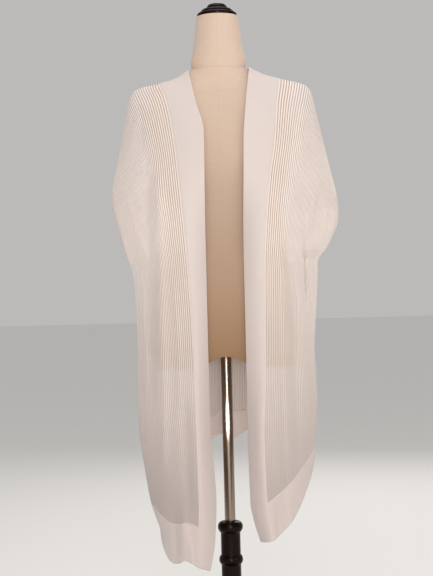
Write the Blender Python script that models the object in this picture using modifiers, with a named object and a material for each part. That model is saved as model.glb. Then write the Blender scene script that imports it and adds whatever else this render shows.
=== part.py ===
"""A long open cardigan in openwork rib knit with plain bands, worn by a dress form on a turned stand.

Metres, +Z up, the wearer faces -Y and the wearer's left is +X. The origin is on the floor, under the pole.
Each cloth piece is a closed wall: its inside lies on the garment's surface, its outside stands off it.
"""

import math
from collections import namedtuple

import bpy
import numpy as np

# Cloth
PLAIN_WALL = 0.0022
MESH_WALL = 0.0013
RIB_HEIGHT = 0.0009
WALE_PITCH = 0.0048
RIB_PITCH = 2 * WALE_PITCH
SEAM_GAP = 0.0003
CUFF_WIDTH = 0.016
CUFF_END_WIDTH = 0.003
HEM_BAND_START = 0.925
SLEEVE_CUFF_GAP = {"right": 0.022, "left": 0.028}
REST_GAP = 0.0030

# Stand
POLE_DIAMETER = 0.0235
POLE_RIM = 0.0008
POLE_TOP = 0.7037
COLLAR_TOP = 0.3375
FOOT_DIAMETER = 0.35
FOOT_HEIGHT = 0.026
FOOT_RIM = 0.008
CAP_BASE = 1.4465
TURNED_STEPS = {"neck_cap": 20, "pole": 16, "stand_column": 20, "stand_foot": 32}
# Turned profiles from the axis at the top to the axis at the bottom: radius, height.
# The cap's heights are over its base.
CAP_PROFILE = (
    (0.0000, 0.0300), (0.0110, 0.0295), (0.0195, 0.0265), (0.0230, 0.0215), (0.0230, 0.0180),
    (0.0320, 0.0165), (0.0355, 0.0135), (0.0365, 0.0095), (0.0425, 0.0080), (0.0445, 0.0050),
    (0.0440, 0.0015), (0.0420, 0.0000), (0.0000, 0.0000),
)
COLUMN_PROFILE = (
    (0.0000, 0.3375), (0.0190, 0.3375), (0.0245, 0.3345), (0.0275, 0.3285), (0.0275, 0.3215),
    (0.0245, 0.3155), (0.0215, 0.3125), (0.0215, 0.2635), (0.0245, 0.2605), (0.0262, 0.2555),
    (0.0262, 0.2495), (0.0240, 0.2455), (0.0215, 0.2415), (0.0215, 0.0750), (0.0260, 0.0600),
    (0.0360, 0.0450), (0.0500, 0.0370), (0.0520, 0.0310), (0.0520, 0.0263), (0.0000, 0.0263),
)

# The photographed outline of each half from the front: distance from the centre line, height.
# The shoulder ends at the cuff's top corner, the cuff at the underarm and the side at the hem.
SHOULDER = {
    "right": (
        (0.066, 1.328), (0.100, 1.309), (0.140, 1.298), (0.174, 1.2915), (0.190, 1.281),
        (0.199, 1.261), (0.204, 1.236), (0.213, 1.196), (0.221, 1.151), (0.235, 1.089), (0.2405, 1.060),
    ),
    "left": (
        (0.066, 1.332), (0.100, 1.314), (0.140, 1.303), (0.178, 1.294), (0.196, 1.283),
        (0.205, 1.261), (0.211, 1.228), (0.223, 1.174), (0.234, 1.123), (0.246, 1.073), (0.2515, 1.040),
    ),
}
CUFF = {
    "right": ((0.2395, 1.040), (0.235, 1.015), (0.227, 0.984), (0.215, 0.940), (0.204, 0.907)),
    "left": ((0.2525, 1.010), (0.250, 0.986), (0.240, 0.962), (0.225, 0.932), (0.208, 0.910)),
}
SIDE = {
    "right": (
        (0.197, 0.870), (0.194, 0.800), (0.192, 0.730), (0.195, 0.620), (0.192, 0.530),
        (0.184, 0.467), (0.172, 0.390), (0.153, 0.330),
    ),
    "left": (
        (0.205, 0.870), (0.200, 0.800), (0.194, 0.720), (0.196, 0.660), (0.197, 0.600),
        (0.193, 0.535), (0.188, 0.480), (0.184, 0.455),
    ),
}
# Half width of the cloth's ring below the end of the side seam, where only the front reaches.
LOW_RING = {
    "right": ((0.154, 0.290), (0.153, 0.250)),
    "left": ((0.180, 0.400), (0.170, 0.300)),
}

# Free edge of each front and the seam of its plain band, as distances from the centre line by height.
FRONT_EDGE = {
    "right": ((1.328, 0.066), (1.250, 0.050), (1.180, 0.034), (0.950, 0.038), (0.550, 0.039),
              (0.400, 0.030), (0.310, 0.035), (0.250, 0.046)),
    "left": ((1.332, 0.066), (1.250, 0.056), (1.160, 0.048), (0.850, 0.044), (0.530, 0.044),
             (0.390, 0.046), (0.345, 0.054), (0.305, 0.066)),
}
BAND_SEAM = {
    "right": ((1.302, 0.128), (1.262, 0.113), (1.175, 0.098), (1.090, 0.089), (0.993, 0.081),
              (0.860, 0.072), (0.734, 0.067), (0.560, 0.065), (0.400, 0.064), (0.250, 0.072)),
    "left": ((1.307, 0.130), (1.247, 0.121), (1.159, 0.113), (1.085, 0.101), (0.950, 0.088),
             (0.856, 0.084), (0.673, 0.081), (0.528, 0.075), (0.400, 0.078), (0.305, 0.090)),
}

# Each front's hem from the band's seam to the side, the back's from the centre: distance, height.
FRONT_HEM = {
    "right": ((0.072, 0.262), (0.085, 0.271), (0.098, 0.275), (0.110, 0.266), (0.122, 0.264), (0.133, 0.270),
              (0.143, 0.288), (0.149, 0.309), (0.153, 0.330)),
    "left": ((0.090, 0.313), (0.108, 0.326), (0.125, 0.342), (0.143, 0.366), (0.160, 0.398), (0.174, 0.430),
             (0.184, 0.455)),
}
EDGE_HEM = {"right": 0.250, "left": 0.306}
BACK_HEM = {
    "right": ((0.000, 0.512), (0.018, 0.514), (0.042, 0.501), (0.070, 0.492), (0.095, 0.470), (0.125, 0.420),
              (0.145, 0.370), (0.153, 0.330)),
    "left": ((0.000, 0.512), (0.016, 0.506), (0.035, 0.516), (0.055, 0.527), (0.085, 0.518), (0.120, 0.506),
             (0.155, 0.488), (0.184, 0.455)),
}

# Depth of the cloth before and behind the centre plane, and the rounding of its ring.
# The ring is (1 - |x / a| ** n) ** m.
DEPTH = (
    # height, front, back, n, m
    (1.335, 0.052, 0.064, 2.0, 0.50),
    (1.300, 0.057, 0.082, 2.0, 0.50),
    (1.270, 0.072, 0.104, 2.0, 0.50),
    (1.240, 0.096, 0.113, 2.0, 0.55),
    (1.200, 0.119, 0.117, 2.0, 0.63),
    (1.160, 0.130, 0.118, 2.0, 0.72),
    (1.110, 0.132, 0.117, 2.0, 0.80),
    (1.000, 0.134, 0.119, 2.0, 0.80),
    (0.920, 0.137, 0.124, 2.1, 0.70),
    (0.840, 0.141, 0.132, 2.2, 0.55),
    (0.740, 0.142, 0.136, 2.3, 0.46),
    (0.600, 0.140, 0.132, 2.3, 0.46),
    (0.450, 0.134, 0.125, 2.2, 0.47),
    (0.250, 0.127, 0.118, 2.2, 0.48),
)
# How far the free edge of a front falls back from the front of the ring.
EDGE_FALL = (
    # height, depth
    (1.180, 0.000), (1.100, 0.007), (1.000, 0.029), (0.900, 0.035), (0.800, 0.031), (0.700, 0.035),
    (0.600, 0.046), (0.500, 0.052), (0.400, 0.050), (0.300, 0.036), (0.250, 0.024),
)
BACK_BAND_CENTRE = 1.263
BACK_BAND_CURVE = 2.2

# Largest folds: which sheet and side, where each starts and ends, half its width and how far it stands out.
FOLDS = (
    # sheet, side, x high, z high, x low, z low, width, height
    ("front", "right", 0.132, 1.120, 0.138, 0.420, 0.013, 0.009),
    ("front", "right", 0.158, 1.150, 0.162, 0.600, 0.012, -0.007),
    ("front", "right", 0.088, 0.640, 0.082, 0.360, 0.010, -0.009),
    ("front", "right", 0.099, 0.420, 0.098, 0.200, 0.010, 0.008),
    ("front", "right", 0.115, 0.400, 0.118, 0.200, 0.009, -0.007),
    ("front", "left", 0.120, 0.980, 0.124, 0.400, 0.013, 0.009),
    ("front", "left", 0.170, 1.000, 0.172, 0.780, 0.008, -0.009),
    ("front", "left", 0.148, 0.860, 0.146, 0.450, 0.012, -0.006),
    ("front", "left", 0.108, 0.470, 0.112, 0.250, 0.012, -0.008),
    ("back", "right", 0.118, 1.120, 0.126, 0.360, 0.016, 0.010),
    ("back", "right", 0.080, 1.020, 0.084, 0.400, 0.014, -0.007),
    ("back", "right", 0.036, 0.900, 0.040, 0.400, 0.016, 0.008),
    ("back", "left", 0.022, 0.820, 0.018, 0.400, 0.013, -0.006),
    ("back", "left", 0.070, 1.050, 0.066, 0.400, 0.016, 0.009),
    ("back", "left", 0.112, 1.000, 0.108, 0.400, 0.014, -0.008),
    ("back", "left", 0.150, 1.000, 0.150, 0.400, 0.013, 0.008),
)
FOLD_FADE = 0.09

# Dress form, each section a rounded ring: height, half width, front depth, back depth.
FORM_SECTIONS = (
    (0.679, 0.150, 0.097, 0.108),
    (0.735, 0.157, 0.103, 0.122),
    (0.800, 0.159, 0.105, 0.127),
    (0.880, 0.149, 0.099, 0.116),
    (0.960, 0.129, 0.090, 0.092),
    (1.030, 0.130, 0.094, 0.088),
    (1.090, 0.141, 0.110, 0.094),
    (1.135, 0.150, 0.119, 0.101),
    (1.170, 0.156, 0.117, 0.105),
    (1.210, 0.166, 0.102, 0.106),
    (1.245, 0.176, 0.079, 0.100),
    (1.268, 0.180, 0.062, 0.090),
)
FORM_SHOULDER_Z = (1.278, 1.284, 1.288, 1.292, 1.297, 1.304, 1.313, 1.321)
FORM_SHOULDER_DEPTH = (
    (1.268, 0.060, 0.088), (1.290, 0.047, 0.070), (1.310, 0.041, 0.055), (1.325, 0.043, 0.052),
)
FORM_NECK = (
    (1.333, 0.0590, 0.0440, 0.0520),
    (1.346, 0.0610, 0.0468, 0.0530),
    (1.373, 0.0553, 0.0486, 0.0516),
    (1.407, 0.0503, 0.0476, 0.0486),
    (1.4462, 0.0456, 0.0456, 0.0456),
)
FORM_ROUNDING = 2.3
FORM_AROUND = 32
FORM_ARCH = 0.025
FORM_ARCH_WIDTH = 0.045
FORM_SOCKET_RADIUS = 0.020

# Rows and columns of the walls. The parameter along a wale runs from 0 at the shoulder to 1 at the hem.
ROWS_TO_UNDERARM = (0.0, 0.06, 0.15, 0.30, 0.50, 0.74, 1.0)
ROWS_TO_HEM_BAND = (0.40, 0.53, 0.66, 0.79)
HEM_ROWS = 3
HALF_HEM_SEAM = 0.0002
PLAIN_COLUMN = 0.0100
CUFF_COLUMNS = 2
NECK_BAND_ROWS = 4
OUTER_PER_INNER = 2
DENSE_ROWS = 241
DENSE_COLUMNS = 181
NEAR_RIDGE = 0.12
UNDERARM_SHARE = 0.225

Cloth = namedtuple("Cloth", "material wall ribbed")


def smooth(x, table, column=1):
    """Reads a table's column at x, on a smooth curve that doesn't overshoot between rows."""
    rows = sorted(table)
    xs = np.array([row[0] for row in rows])
    ys = np.array([row[column] for row in rows])
    step = np.diff(xs)
    slope = np.diff(ys) / step
    inner = np.where(
        slope[1:] * slope[:-1] > 0,
        2 * slope[1:] * slope[:-1] / np.where(slope[1:] + slope[:-1] == 0, 1, slope[1:] + slope[:-1]),
        0,
    )
    tangent = np.concatenate([[slope[0]], inner, [slope[-1]]])
    x = np.clip(np.asarray(x, float), xs[0], xs[-1])
    at = np.clip(np.searchsorted(xs, x) - 1, 0, len(step) - 1)
    t = (x - xs[at]) / step[at]
    return (
        (1 + 2 * t) * (1 - t) ** 2 * ys[at]
        + t * (1 - t) ** 2 * step[at] * tangent[at]
        + t * t * (3 - 2 * t) * ys[at + 1]
        + t * t * (t - 1) * step[at] * tangent[at + 1]
    )


def curve_through(points, per_span=16):
    """A dense Catmull-Rom curve through points in a plane."""
    points = np.array(points, float)
    ends = np.vstack([2 * points[0] - points[1], points, 2 * points[-1] - points[-2]])
    t = np.linspace(0, 1, per_span, endpoint=False)[:, None]
    spans = []
    for a, b, c, d in zip(ends[:-3], ends[1:-2], ends[2:-1], ends[3:]):
        spans.append(
            0.5 * (2 * b + (c - a) * t + (2 * a - 5 * b + 4 * c - d) * t**2 + (3 * b - a - 3 * c + d) * t**3)
        )
    return np.vstack(spans + [points[-1:]])


def along(curve, share):
    """Points of a dense curve at shares of its length."""
    step = np.linalg.norm(np.diff(curve, axis=0), axis=1)
    length = np.concatenate([[0], np.cumsum(step)])
    at = np.asarray(share) * length[-1]
    return np.stack([np.interp(at, length, curve[:, k]) for k in range(curve.shape[1])], -1)


class Outline:
    """The silhouette of one half of the cardigan, cut into its shoulder, cuff and side."""

    def __init__(self, side):
        shoulder, cuff, seam = SHOULDER[side], CUFF[side], SIDE[side]
        whole = curve_through(shoulder + cuff + seam)
        self.cuff_top_z = shoulder[-1][1]
        self.underarm_z = cuff[-1][1]
        height = whole[:, 1]
        self.shoulder = whole[height >= self.cuff_top_z - 1e-9]
        self.cuff = whole[(height <= self.cuff_top_z + 1e-9) & (height >= self.underarm_z - 1e-9)]
        self.seam = whole[height <= self.underarm_z + 1e-9]
        low = curve_through((seam[-2], seam[-1]) + LOW_RING[side])
        ring = np.vstack([whole, low[low[:, 1] < seam[-1][1] - 1e-4]])
        order = np.argsort(ring[:, 1])
        self.heights, self.widths = ring[order, 1], ring[order, 0]

    def half_width(self, z):
        return np.interp(z, self.heights, self.widths)

    def outer(self, share):
        """The outer border from the cuff's top corner to the hem, with one share for every underarm."""
        cuff = along(self.cuff, np.clip(share / UNDERARM_SHARE, 0, 1))
        seam = along(self.seam, np.clip((share - UNDERARM_SHARE) / (1 - UNDERARM_SHARE), 0, 1))
        return np.where((share <= UNDERARM_SHARE)[..., None], cuff, seam)

    def shoulder_from(self, x):
        """The shoulder stretch from a distance x off the centre line to the cuff's top corner."""
        start = int(np.argmax(self.shoulder[:, 0] >= x))
        share = (x - self.shoulder[start - 1, 0]) / (self.shoulder[start, 0] - self.shoulder[start - 1, 0])
        first = self.shoulder[start - 1] + share * (self.shoulder[start] - self.shoulder[start - 1])
        return np.vstack([first[None], self.shoulder[start:]])


OUTLINES = {side: Outline(side) for side in SHOULDER}


def cuff_gap(side, z):
    """Half the opening between the front and back edges of a cuff."""
    shape = OUTLINES[side]
    share = np.clip((z - shape.underarm_z) / (shape.cuff_top_z - shape.underarm_z), 0, 1)
    return SLEEVE_CUFF_GAP[side] * np.sin(math.pi * share) ** 0.8


def fade(value):
    value = np.clip(value, 0, 1)
    return value * value * (3 - 2 * value)


def folds_at(sheet, side, x, z):
    out = np.zeros_like(x)
    for name, where, x_high, z_high, x_low, z_low, width, height in FOLDS:
        if (name, where) != (sheet, side):
            continue
        share = np.clip((z_high - z) / (z_high - z_low), 0, 1)
        centre = x_high + (x_low - x_high) * share
        window = fade((z_high - z) / FOLD_FADE) * fade((z - z_low) / FOLD_FADE)
        out += height * window * np.exp(-(((x - centre) / width) ** 2))
    return out


def depth_at(sheet, side, x, z):
    """How far the cloth's inside lies from the centre plane, on the front or back sheet."""
    column = 1 if sheet == "front" else 2
    most = smooth(z, DEPTH, column)
    n, m = smooth(z, DEPTH, 3), smooth(z, DEPTH, 4)
    across = np.clip(np.abs(x) / OUTLINES[side].half_width(z), 0, 1)
    ring = np.clip(1 - across**n, 0, 1) ** m
    gap = cuff_gap(side, z)
    folds = folds_at(sheet, side, np.abs(x), z) * fade(ring / 0.35)
    depth = gap + (most - gap) * ring + folds
    if sheet == "front":
        edge, seam = smooth(z, FRONT_EDGE[side]), smooth(z, BAND_SEAM[side])
        inward = np.clip((seam - np.abs(x)) / (seam - edge), 0, 1)
        depth = depth - smooth(z, EDGE_FALL) * inward**1.6
    return depth


def lifted(sheet, side, xz):
    """Points seen from the front, given their depth on the front or back sheet."""
    x, z = xz[..., 0], xz[..., 1]
    y = depth_at(sheet, side, x, z)
    way = -1 if sheet == "front" else 1
    mirror = -1 if side == "right" else 1
    return np.stack([mirror * x, way * y, z], -1)


def wale_share(q):
    """Turns the parameter along a wale into a share of its length, slower over the shoulder."""
    q = np.asarray(q, float)
    return (1 + NEAR_RIDGE) * q * q / (q + NEAR_RIDGE)


def first_row_under_arm():
    return int(np.argmax(wale_share(np.linspace(0, 1, DENSE_ROWS)) >= UNDERARM_SHARE))


def underarm_row():
    """The parameter along a wale at the underarm."""
    q = np.linspace(0, 1, DENSE_ROWS)
    return float(np.interp(UNDERARM_SHARE, wale_share(q), q))


def normals_of(grid):
    """Unit normals of a grid of points, rows downward and columns outward."""
    down = np.gradient(grid, axis=0)
    across = np.gradient(grid, axis=1)
    normal = np.cross(down, across)
    return normal / np.maximum(np.linalg.norm(normal, axis=-1, keepdims=True), 1e-12)


class Sheet:
    """A stretch of the cloth as a dense grid, read at any share down and across."""

    def __init__(self, grid, outward, flat_top=False, flat_side_from=None):
        self.grid = grid
        normal = normals_of(grid)
        if np.mean(np.sum(normal * outward, -1)) < 0:
            normal = -normal
        if flat_top:
            normal[0, :, 1] = 0
        if flat_side_from is not None:
            normal[flat_side_from:, -1, 1] = 0
        self.normal = normal / np.maximum(np.linalg.norm(normal, axis=-1, keepdims=True), 1e-12)
        step = np.linalg.norm(np.diff(grid, axis=1), axis=-1)
        self.widths = step.sum(1)

    def read(self, values, q, u):
        rows, columns = values.shape[:2]
        r, c = np.broadcast_arrays(np.asarray(q) * (rows - 1), np.asarray(u) * (columns - 1))
        r0 = np.clip(np.floor(r).astype(int), 0, rows - 2)
        c0 = np.clip(np.floor(c).astype(int), 0, columns - 2)
        fr, fc = (r - r0)[..., None], (c - c0)[..., None]
        return (
            values[r0, c0] * (1 - fr) * (1 - fc)
            + values[r0, c0 + 1] * (1 - fr) * fc
            + values[r0 + 1, c0] * fr * (1 - fc)
            + values[r0 + 1, c0 + 1] * fr * fc
        )

    def at(self, q, u):
        normal = self.read(self.normal, q, u)
        return self.read(self.grid, q, u), normal / np.linalg.norm(normal, axis=-1, keepdims=True)

    def width_at(self, q):
        return np.interp(q, np.linspace(0, 1, len(self.widths)), self.widths)


def blended_rows(inner, outer, top, hem, top_power, hem_power):
    """Rows between two borders, from the top curve down to the hem, seen from the front."""
    q = np.linspace(0, 1, DENSE_ROWS)
    v = wale_share(q)[:, None, None]
    t = np.linspace(0, 1, DENSE_COLUMNS)
    left, right = inner(v[:, 0, 0]), outer(v[:, 0, 0])
    rows = left[:, None] + (right - left)[:, None] * t[None, :, None]
    for curve, weight in ((top, (1 - v) ** top_power), (hem, v**hem_power)):
        shape = along(curve, t)
        chord = shape[0] + (shape[-1] - shape[0]) * t[:, None]
        rows = rows + weight * (shape - chord)[None]
    return rows


def evened(grid):
    """The same grid with its columns spread evenly along each row."""
    t = np.linspace(0, 1, grid.shape[1])
    return np.stack([along(row, t) for row in grid])


def front_sheet(side):
    shape = OUTLINES[side]
    top_z, top_x = BAND_SEAM[side][0]
    hem_z = FRONT_HEM[side][0][1]
    top = shape.shoulder_from(top_x)

    def seam(v):
        z = top[0, 1] + (hem_z - top[0, 1]) * v
        x = smooth(z, BAND_SEAM[side])
        return np.stack([x + (top[0, 0] - x) * (1 - v) ** 60, z], -1)

    hem = curve_through(FRONT_HEM[side])
    hem[0] = seam(np.array([1.0]))[0]
    rows = blended_rows(seam, shape.outer, top, hem, 2.5, 7)
    grid = evened(lifted("front", side, rows))
    return Sheet(grid, np.array([0, -1, 0]), flat_top=True, flat_side_from=first_row_under_arm())


def band_sheet(side, front):
    """The plain band of a front, from its free edge to the seam with the front."""
    seam = front.grid[:, 0]
    neck_x, neck_z = SHOULDER[side][0]
    v = wale_share(np.linspace(0, 1, DENSE_ROWS))
    edge_z = neck_z + (EDGE_HEM[side] - neck_z) * v
    edge = np.stack([smooth(edge_z, FRONT_EDGE[side]), edge_z], -1)
    edge[0] = (neck_x, neck_z)
    outer = np.stack([np.abs(seam[:, 0]), seam[:, 2]], -1)
    t = np.linspace(0, 1, DENSE_COLUMNS)[None, :, None]
    rows = edge[:, None] + (outer - edge)[:, None] * t
    ridge = OUTLINES[side].shoulder
    above_line = np.interp(rows[0, :, 0], ridge[:, 0], ridge[:, 1]) - rows[0, :, 1]
    rows[:, :, 1] += (1 - v[:, None]) ** 40 * above_line
    grid = evened(lifted("front", side, rows))
    return Sheet(grid, np.array([0, -1, 0]), flat_top=True)


def back_half(side):
    """Half of the back from the centre line to the side, under the neck band."""
    shape = OUTLINES[side]
    corner = shape.shoulder_from(BAND_SEAM[side][0][1])
    x = np.linspace(0, corner[0, 0], 24)
    z = BACK_BAND_CENTRE + (corner[0, 1] - BACK_BAND_CENTRE) * (x / corner[0, 0]) ** BACK_BAND_CURVE
    top = np.vstack([np.stack([x, z], -1)[:-1], corner])
    hem_z = BACK_HEM[side][0][1]

    def centre(v):
        z = BACK_BAND_CENTRE + (hem_z - BACK_BAND_CENTRE) * v
        return np.stack([np.zeros_like(z), z], -1)

    rows = blended_rows(centre, shape.outer, top, curve_through(BACK_HEM[side]), 3.0, 7)
    return lifted("back", side, rows)


def back_sheet():
    right, left = back_half("right"), back_half("left")
    grid = evened(np.concatenate([right[:, ::-1], left[:, 1:]], 1))
    sheet = Sheet(grid, np.array([0, 1, 0]))
    normal = sheet.normal
    normal[first_row_under_arm() :, (0, -1), 1] = 0
    ridge = np.abs(grid[0, :, 1]) < 1e-4
    normal[0, ridge, 1] = 0
    sheet.normal = normal / np.linalg.norm(normal, axis=-1, keepdims=True)
    return sheet


def neck_sheet():
    """The plain band behind the neck, from the neckline down, columns from the wearer's right to left."""
    s = np.linspace(0, 1, DENSE_ROWS)[:, None]
    q = np.linspace(-1, 1, 2 * DENSE_COLUMNS - 1)[None, :]
    points = np.zeros((DENSE_ROWS, q.shape[1], 3))
    for side, half in (("right", q <= 0), ("left", q > 0)):
        ridge = OUTLINES[side].shoulder
        inner_x, outer_x = SHOULDER[side][0][0], BAND_SEAM[side][0][1]
        across = np.abs(q[half])[None, :]
        x_line = inner_x + (outer_x - inner_x) * s
        z_line = np.interp(x_line, ridge[:, 0], ridge[:, 1])
        neck_z = 0.5 * (SHOULDER["right"][0][1] + SHOULDER["left"][0][1])
        centre_z = neck_z + (BACK_BAND_CENTRE - neck_z) * s
        z = centre_z + (z_line - centre_z) * across**BACK_BAND_CURVE
        xz = np.stack([x_line * across, z], -1)
        points[:, half[0]] = lifted("back", side, xz)
    sheet = Sheet(points, np.array([0, 1, 0]))
    normal = sheet.normal
    normal[:, (0, -1), 1] = 0
    sheet.normal = normal / np.linalg.norm(normal, axis=-1, keepdims=True)
    return sheet


def fan(fine, coarse):
    """Faces between a fine border and a coarse one, which start and end together."""
    faces = []
    per = (len(fine) - 1) // (len(coarse) - 1)
    middle = per // 2
    for k in range(len(coarse) - 1):
        here, following = coarse[k], coarse[k + 1]
        stretch = fine[k * per : (k + 1) * per + 1]
        faces += [(here, stretch[j], stretch[j + 1]) for j in range(middle)]
        faces.append((here, stretch[middle], following))
        faces += [(following, stretch[j], stretch[j + 1]) for j in range(middle, per)]
    return faces


def wall_object(name, inner, outer, material, collection):
    """A closed wall between two grids with the same rows. The outer grid may have more columns."""
    rows, fine = outer.shape[:2]
    coarse = inner.shape[1]
    points = np.vstack([outer.reshape(-1, 3), inner.reshape(-1, 3)])
    out = np.arange(rows * fine).reshape(rows, fine)
    back = rows * fine + np.arange(rows * coarse).reshape(rows, coarse)
    faces = fan(list(out[0]), list(back[0]))
    faces += [face[::-1] for face in fan(list(out[-1]), list(back[-1]))]
    for r in range(rows - 1):
        faces += [(out[r, c], out[r + 1, c], out[r + 1, c + 1], out[r, c + 1]) for c in range(fine - 1)]
        faces += [(back[r, c], back[r, c + 1], back[r + 1, c + 1], back[r + 1, c]) for c in range(coarse - 1)]
        faces.append((out[r, 0], back[r, 0], back[r + 1, 0], out[r + 1, 0]))
        faces.append((out[r, -1], out[r + 1, -1], back[r + 1, -1], back[r, -1]))
    per = (fine - 1) // (coarse - 1)
    if np.sum(normals_of(outer)[:, ::per] * (outer[:, ::per] - inner)) < 0:
        faces = [face[::-1] for face in faces]
    mesh = bpy.data.meshes.new(name)
    mesh.from_pydata(points.tolist(), [], [tuple(int(i) for i in face) for face in faces])
    mesh.shade_smooth()
    mesh.set_sharp_from_angle(angle=math.radians(50))
    made = bpy.data.objects.new(name, mesh)
    made.data.materials.append(material)
    collection.objects.link(made)
    return made


def column_count(sheet, rows, low, high, pitch):
    """How many columns of about one pitch fit between two borders of a sheet."""
    rows = np.array(rows)
    return max(2, round(float(np.mean((high(rows) - low(rows)) * sheet.width_at(rows))) / pitch))


def cloth_piece(name, sheet, way, rows, low, high, columns, cloth, collection):
    """One sewn piece: the stretch of a sheet between two borders, each a function of the rows.

    way is -1 for a piece in front of the shoulder and side seams and 1 for one behind them. A narrow
    cuff's wall stands off in one direction along each row, the one at its seam.
    """
    rows = np.array(rows)
    u_low, u_high = low(rows), high(rows)
    per = OUTER_PER_INNER if cloth.ribbed else 1
    u = u_low[:, None] + (u_high - u_low)[:, None] * np.linspace(0, 1, per * columns + 1)[None]
    inside, normal = sheet.at(rows[:, None], u)
    if columns == CUFF_COLUMNS:
        at_seam = 0 if u_high[0] > 0.5 else -1
        normal = np.repeat(normal[:, at_seam][:, None], u.shape[1], axis=1)
    stand = np.full(u.shape, cloth.wall)
    if cloth.ribbed:
        stand[:, 1::2] += RIB_HEIGHT
    outside = inside + normal * stand[..., None]
    for points in (inside, outside):
        points[..., 1] = way * np.maximum(way * points[..., 1], SEAM_GAP / 2)
    return wall_object(name, inside[:, ::per], outside, cloth.material, collection)


def material_of(name, colour, roughness, metallic=0.0):
    material = bpy.data.materials.new(name)
    material.use_nodes = True
    shader = material.node_tree.nodes["Principled BSDF"]
    shader.inputs["Base Color"].default_value = (*colour, 1.0)
    shader.inputs["Roughness"].default_value = roughness
    shader.inputs["Metallic"].default_value = metallic
    material.diffuse_color = (*colour, 1.0)
    return material


def inset(sheet, share):
    """Half a seam's gap as a share of a sheet's width, at each row."""
    return lambda rows: share + np.where(share < 0.5, 1, -1) * SEAM_GAP / 2 / sheet.width_at(rows)


def cuff_share(sheet, rows):
    """Width of the cuff as a share of its sheet's width: even, then narrow at the underarm."""
    end = underarm_row()
    near_end = fade((end - rows) / end * 4)
    return (CUFF_END_WIDTH + (CUFF_WIDTH - CUFF_END_WIDTH) * near_end) / sheet.width_at(rows)


def outer_border(sheet, rows):
    """Share of a sheet's width beyond a panel: the cuff and its seam, and nothing below the underarm."""
    cuff = cuff_share(sheet, rows) + SEAM_GAP / 2 / sheet.width_at(rows)
    return np.where(rows <= underarm_row() + 1e-9, cuff, 0.0)


def cuff_rows():
    return tuple(row * underarm_row() for row in ROWS_TO_UNDERARM)


def panel_rows():
    """Rows of a panel, with one at the underarm and one just under it."""
    return cuff_rows() + (underarm_row() + 0.004,) + ROWS_TO_HEM_BAND + (HEM_BAND_START - HALF_HEM_SEAM,)


def hem_rows():
    return tuple(np.linspace(HEM_BAND_START + HALF_HEM_SEAM, 1, HEM_ROWS))


def build_front(side, mesh_cloth, plain_cloth, collection):
    front = front_sheet(side)
    band = band_sheet(side, front)
    edge_of = inset(front, 0.0)

    def panel_edge(rows):
        return 1 - outer_border(front, rows)

    def cuff_seam(rows):
        return 1 - cuff_share(front, rows) + SEAM_GAP / 2 / front.width_at(rows)

    wales = column_count(front, panel_rows(), edge_of, panel_edge, RIB_PITCH)
    band_rows = panel_rows()[:-1] + hem_rows()
    across = column_count(band, band_rows, np.zeros_like, np.ones_like, PLAIN_COLUMN)
    pieces = (
        ("front", front, panel_rows(), edge_of, panel_edge, wales, mesh_cloth),
        ("cuff_front", front, cuff_rows(), cuff_seam, np.ones_like, CUFF_COLUMNS, plain_cloth),
        ("hem_front", front, hem_rows(), edge_of, np.ones_like, wales, plain_cloth),
        ("band_front", band, band_rows, np.zeros_like, inset(band, 1.0), across, plain_cloth),
    )
    for name, sheet, rows, low, high, columns, cloth in pieces:
        cloth_piece(f"{name}_{side}", sheet, -1, rows, low, high, columns, cloth, collection)


def build_back(mesh_cloth, plain_cloth, collection):
    back, neck = back_sheet(), neck_sheet()

    def right_edge(rows):
        return outer_border(back, rows)

    def left_edge(rows):
        return 1 - outer_border(back, rows)

    def right_cuff_seam(rows):
        return cuff_share(back, rows) - SEAM_GAP / 2 / back.width_at(rows)

    def left_cuff_seam(rows):
        return 1 - cuff_share(back, rows) + SEAM_GAP / 2 / back.width_at(rows)

    wales = column_count(back, panel_rows(), right_edge, left_edge, RIB_PITCH)
    drop = SHOULDER["right"][0][1] - BACK_BAND_CENTRE
    band_rows = np.linspace(0, 1 - SEAM_GAP / drop, NECK_BAND_ROWS)
    across = column_count(neck, band_rows, np.zeros_like, np.ones_like, PLAIN_COLUMN)
    pieces = (
        ("back", back, panel_rows(), right_edge, left_edge, wales, mesh_cloth),
        ("cuff_back_right", back, cuff_rows(), np.zeros_like, right_cuff_seam, CUFF_COLUMNS, plain_cloth),
        ("cuff_back_left", back, cuff_rows(), left_cuff_seam, np.ones_like, CUFF_COLUMNS, plain_cloth),
        ("hem_back", back, hem_rows(), np.zeros_like, np.ones_like, wales, plain_cloth),
        ("band_back_neck", neck, band_rows, np.zeros_like, np.ones_like, across, plain_cloth),
    )
    for name, sheet, rows, low, high, columns, cloth in pieces:
        cloth_piece(name, sheet, 1, rows, low, high, columns, cloth, collection)


def turned(name, profile, around, material, collection):
    """A turned piece from a profile of radius and height, top to bottom, closed on its axis."""
    mesh = bpy.data.meshes.new(name)
    mesh.from_pydata([(radius, 0.0, height) for radius, height in profile], [], [])
    mesh.edges.add(len(profile) - 1)
    for k, edge in enumerate(mesh.edges):
        edge.vertices = (k, k + 1)
    made = bpy.data.objects.new(name, mesh)
    screw = made.modifiers.new("turn", "SCREW")
    screw.steps = around
    screw.render_steps = around
    screw.use_merge_vertices = True
    screw.merge_threshold = 0.00005
    screw.use_smooth_shade = True
    made.data.materials.append(material)
    collection.objects.link(made)
    return made


def rounded(radius, top, bottom, edge, steps=3):
    """Profile of a disc or column with rounded rims, from its axis over its side and back to the axis."""
    turn = [math.pi / 2 * k / steps for k in range(steps + 1)]
    over = [(radius - edge + edge * math.sin(a), top - edge + edge * math.cos(a)) for a in turn]
    under = [(radius - edge + edge * math.cos(a), bottom + edge - edge * math.sin(a)) for a in turn]
    return [(0.0, top)] + over + under + [(0.0, bottom)]


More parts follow.
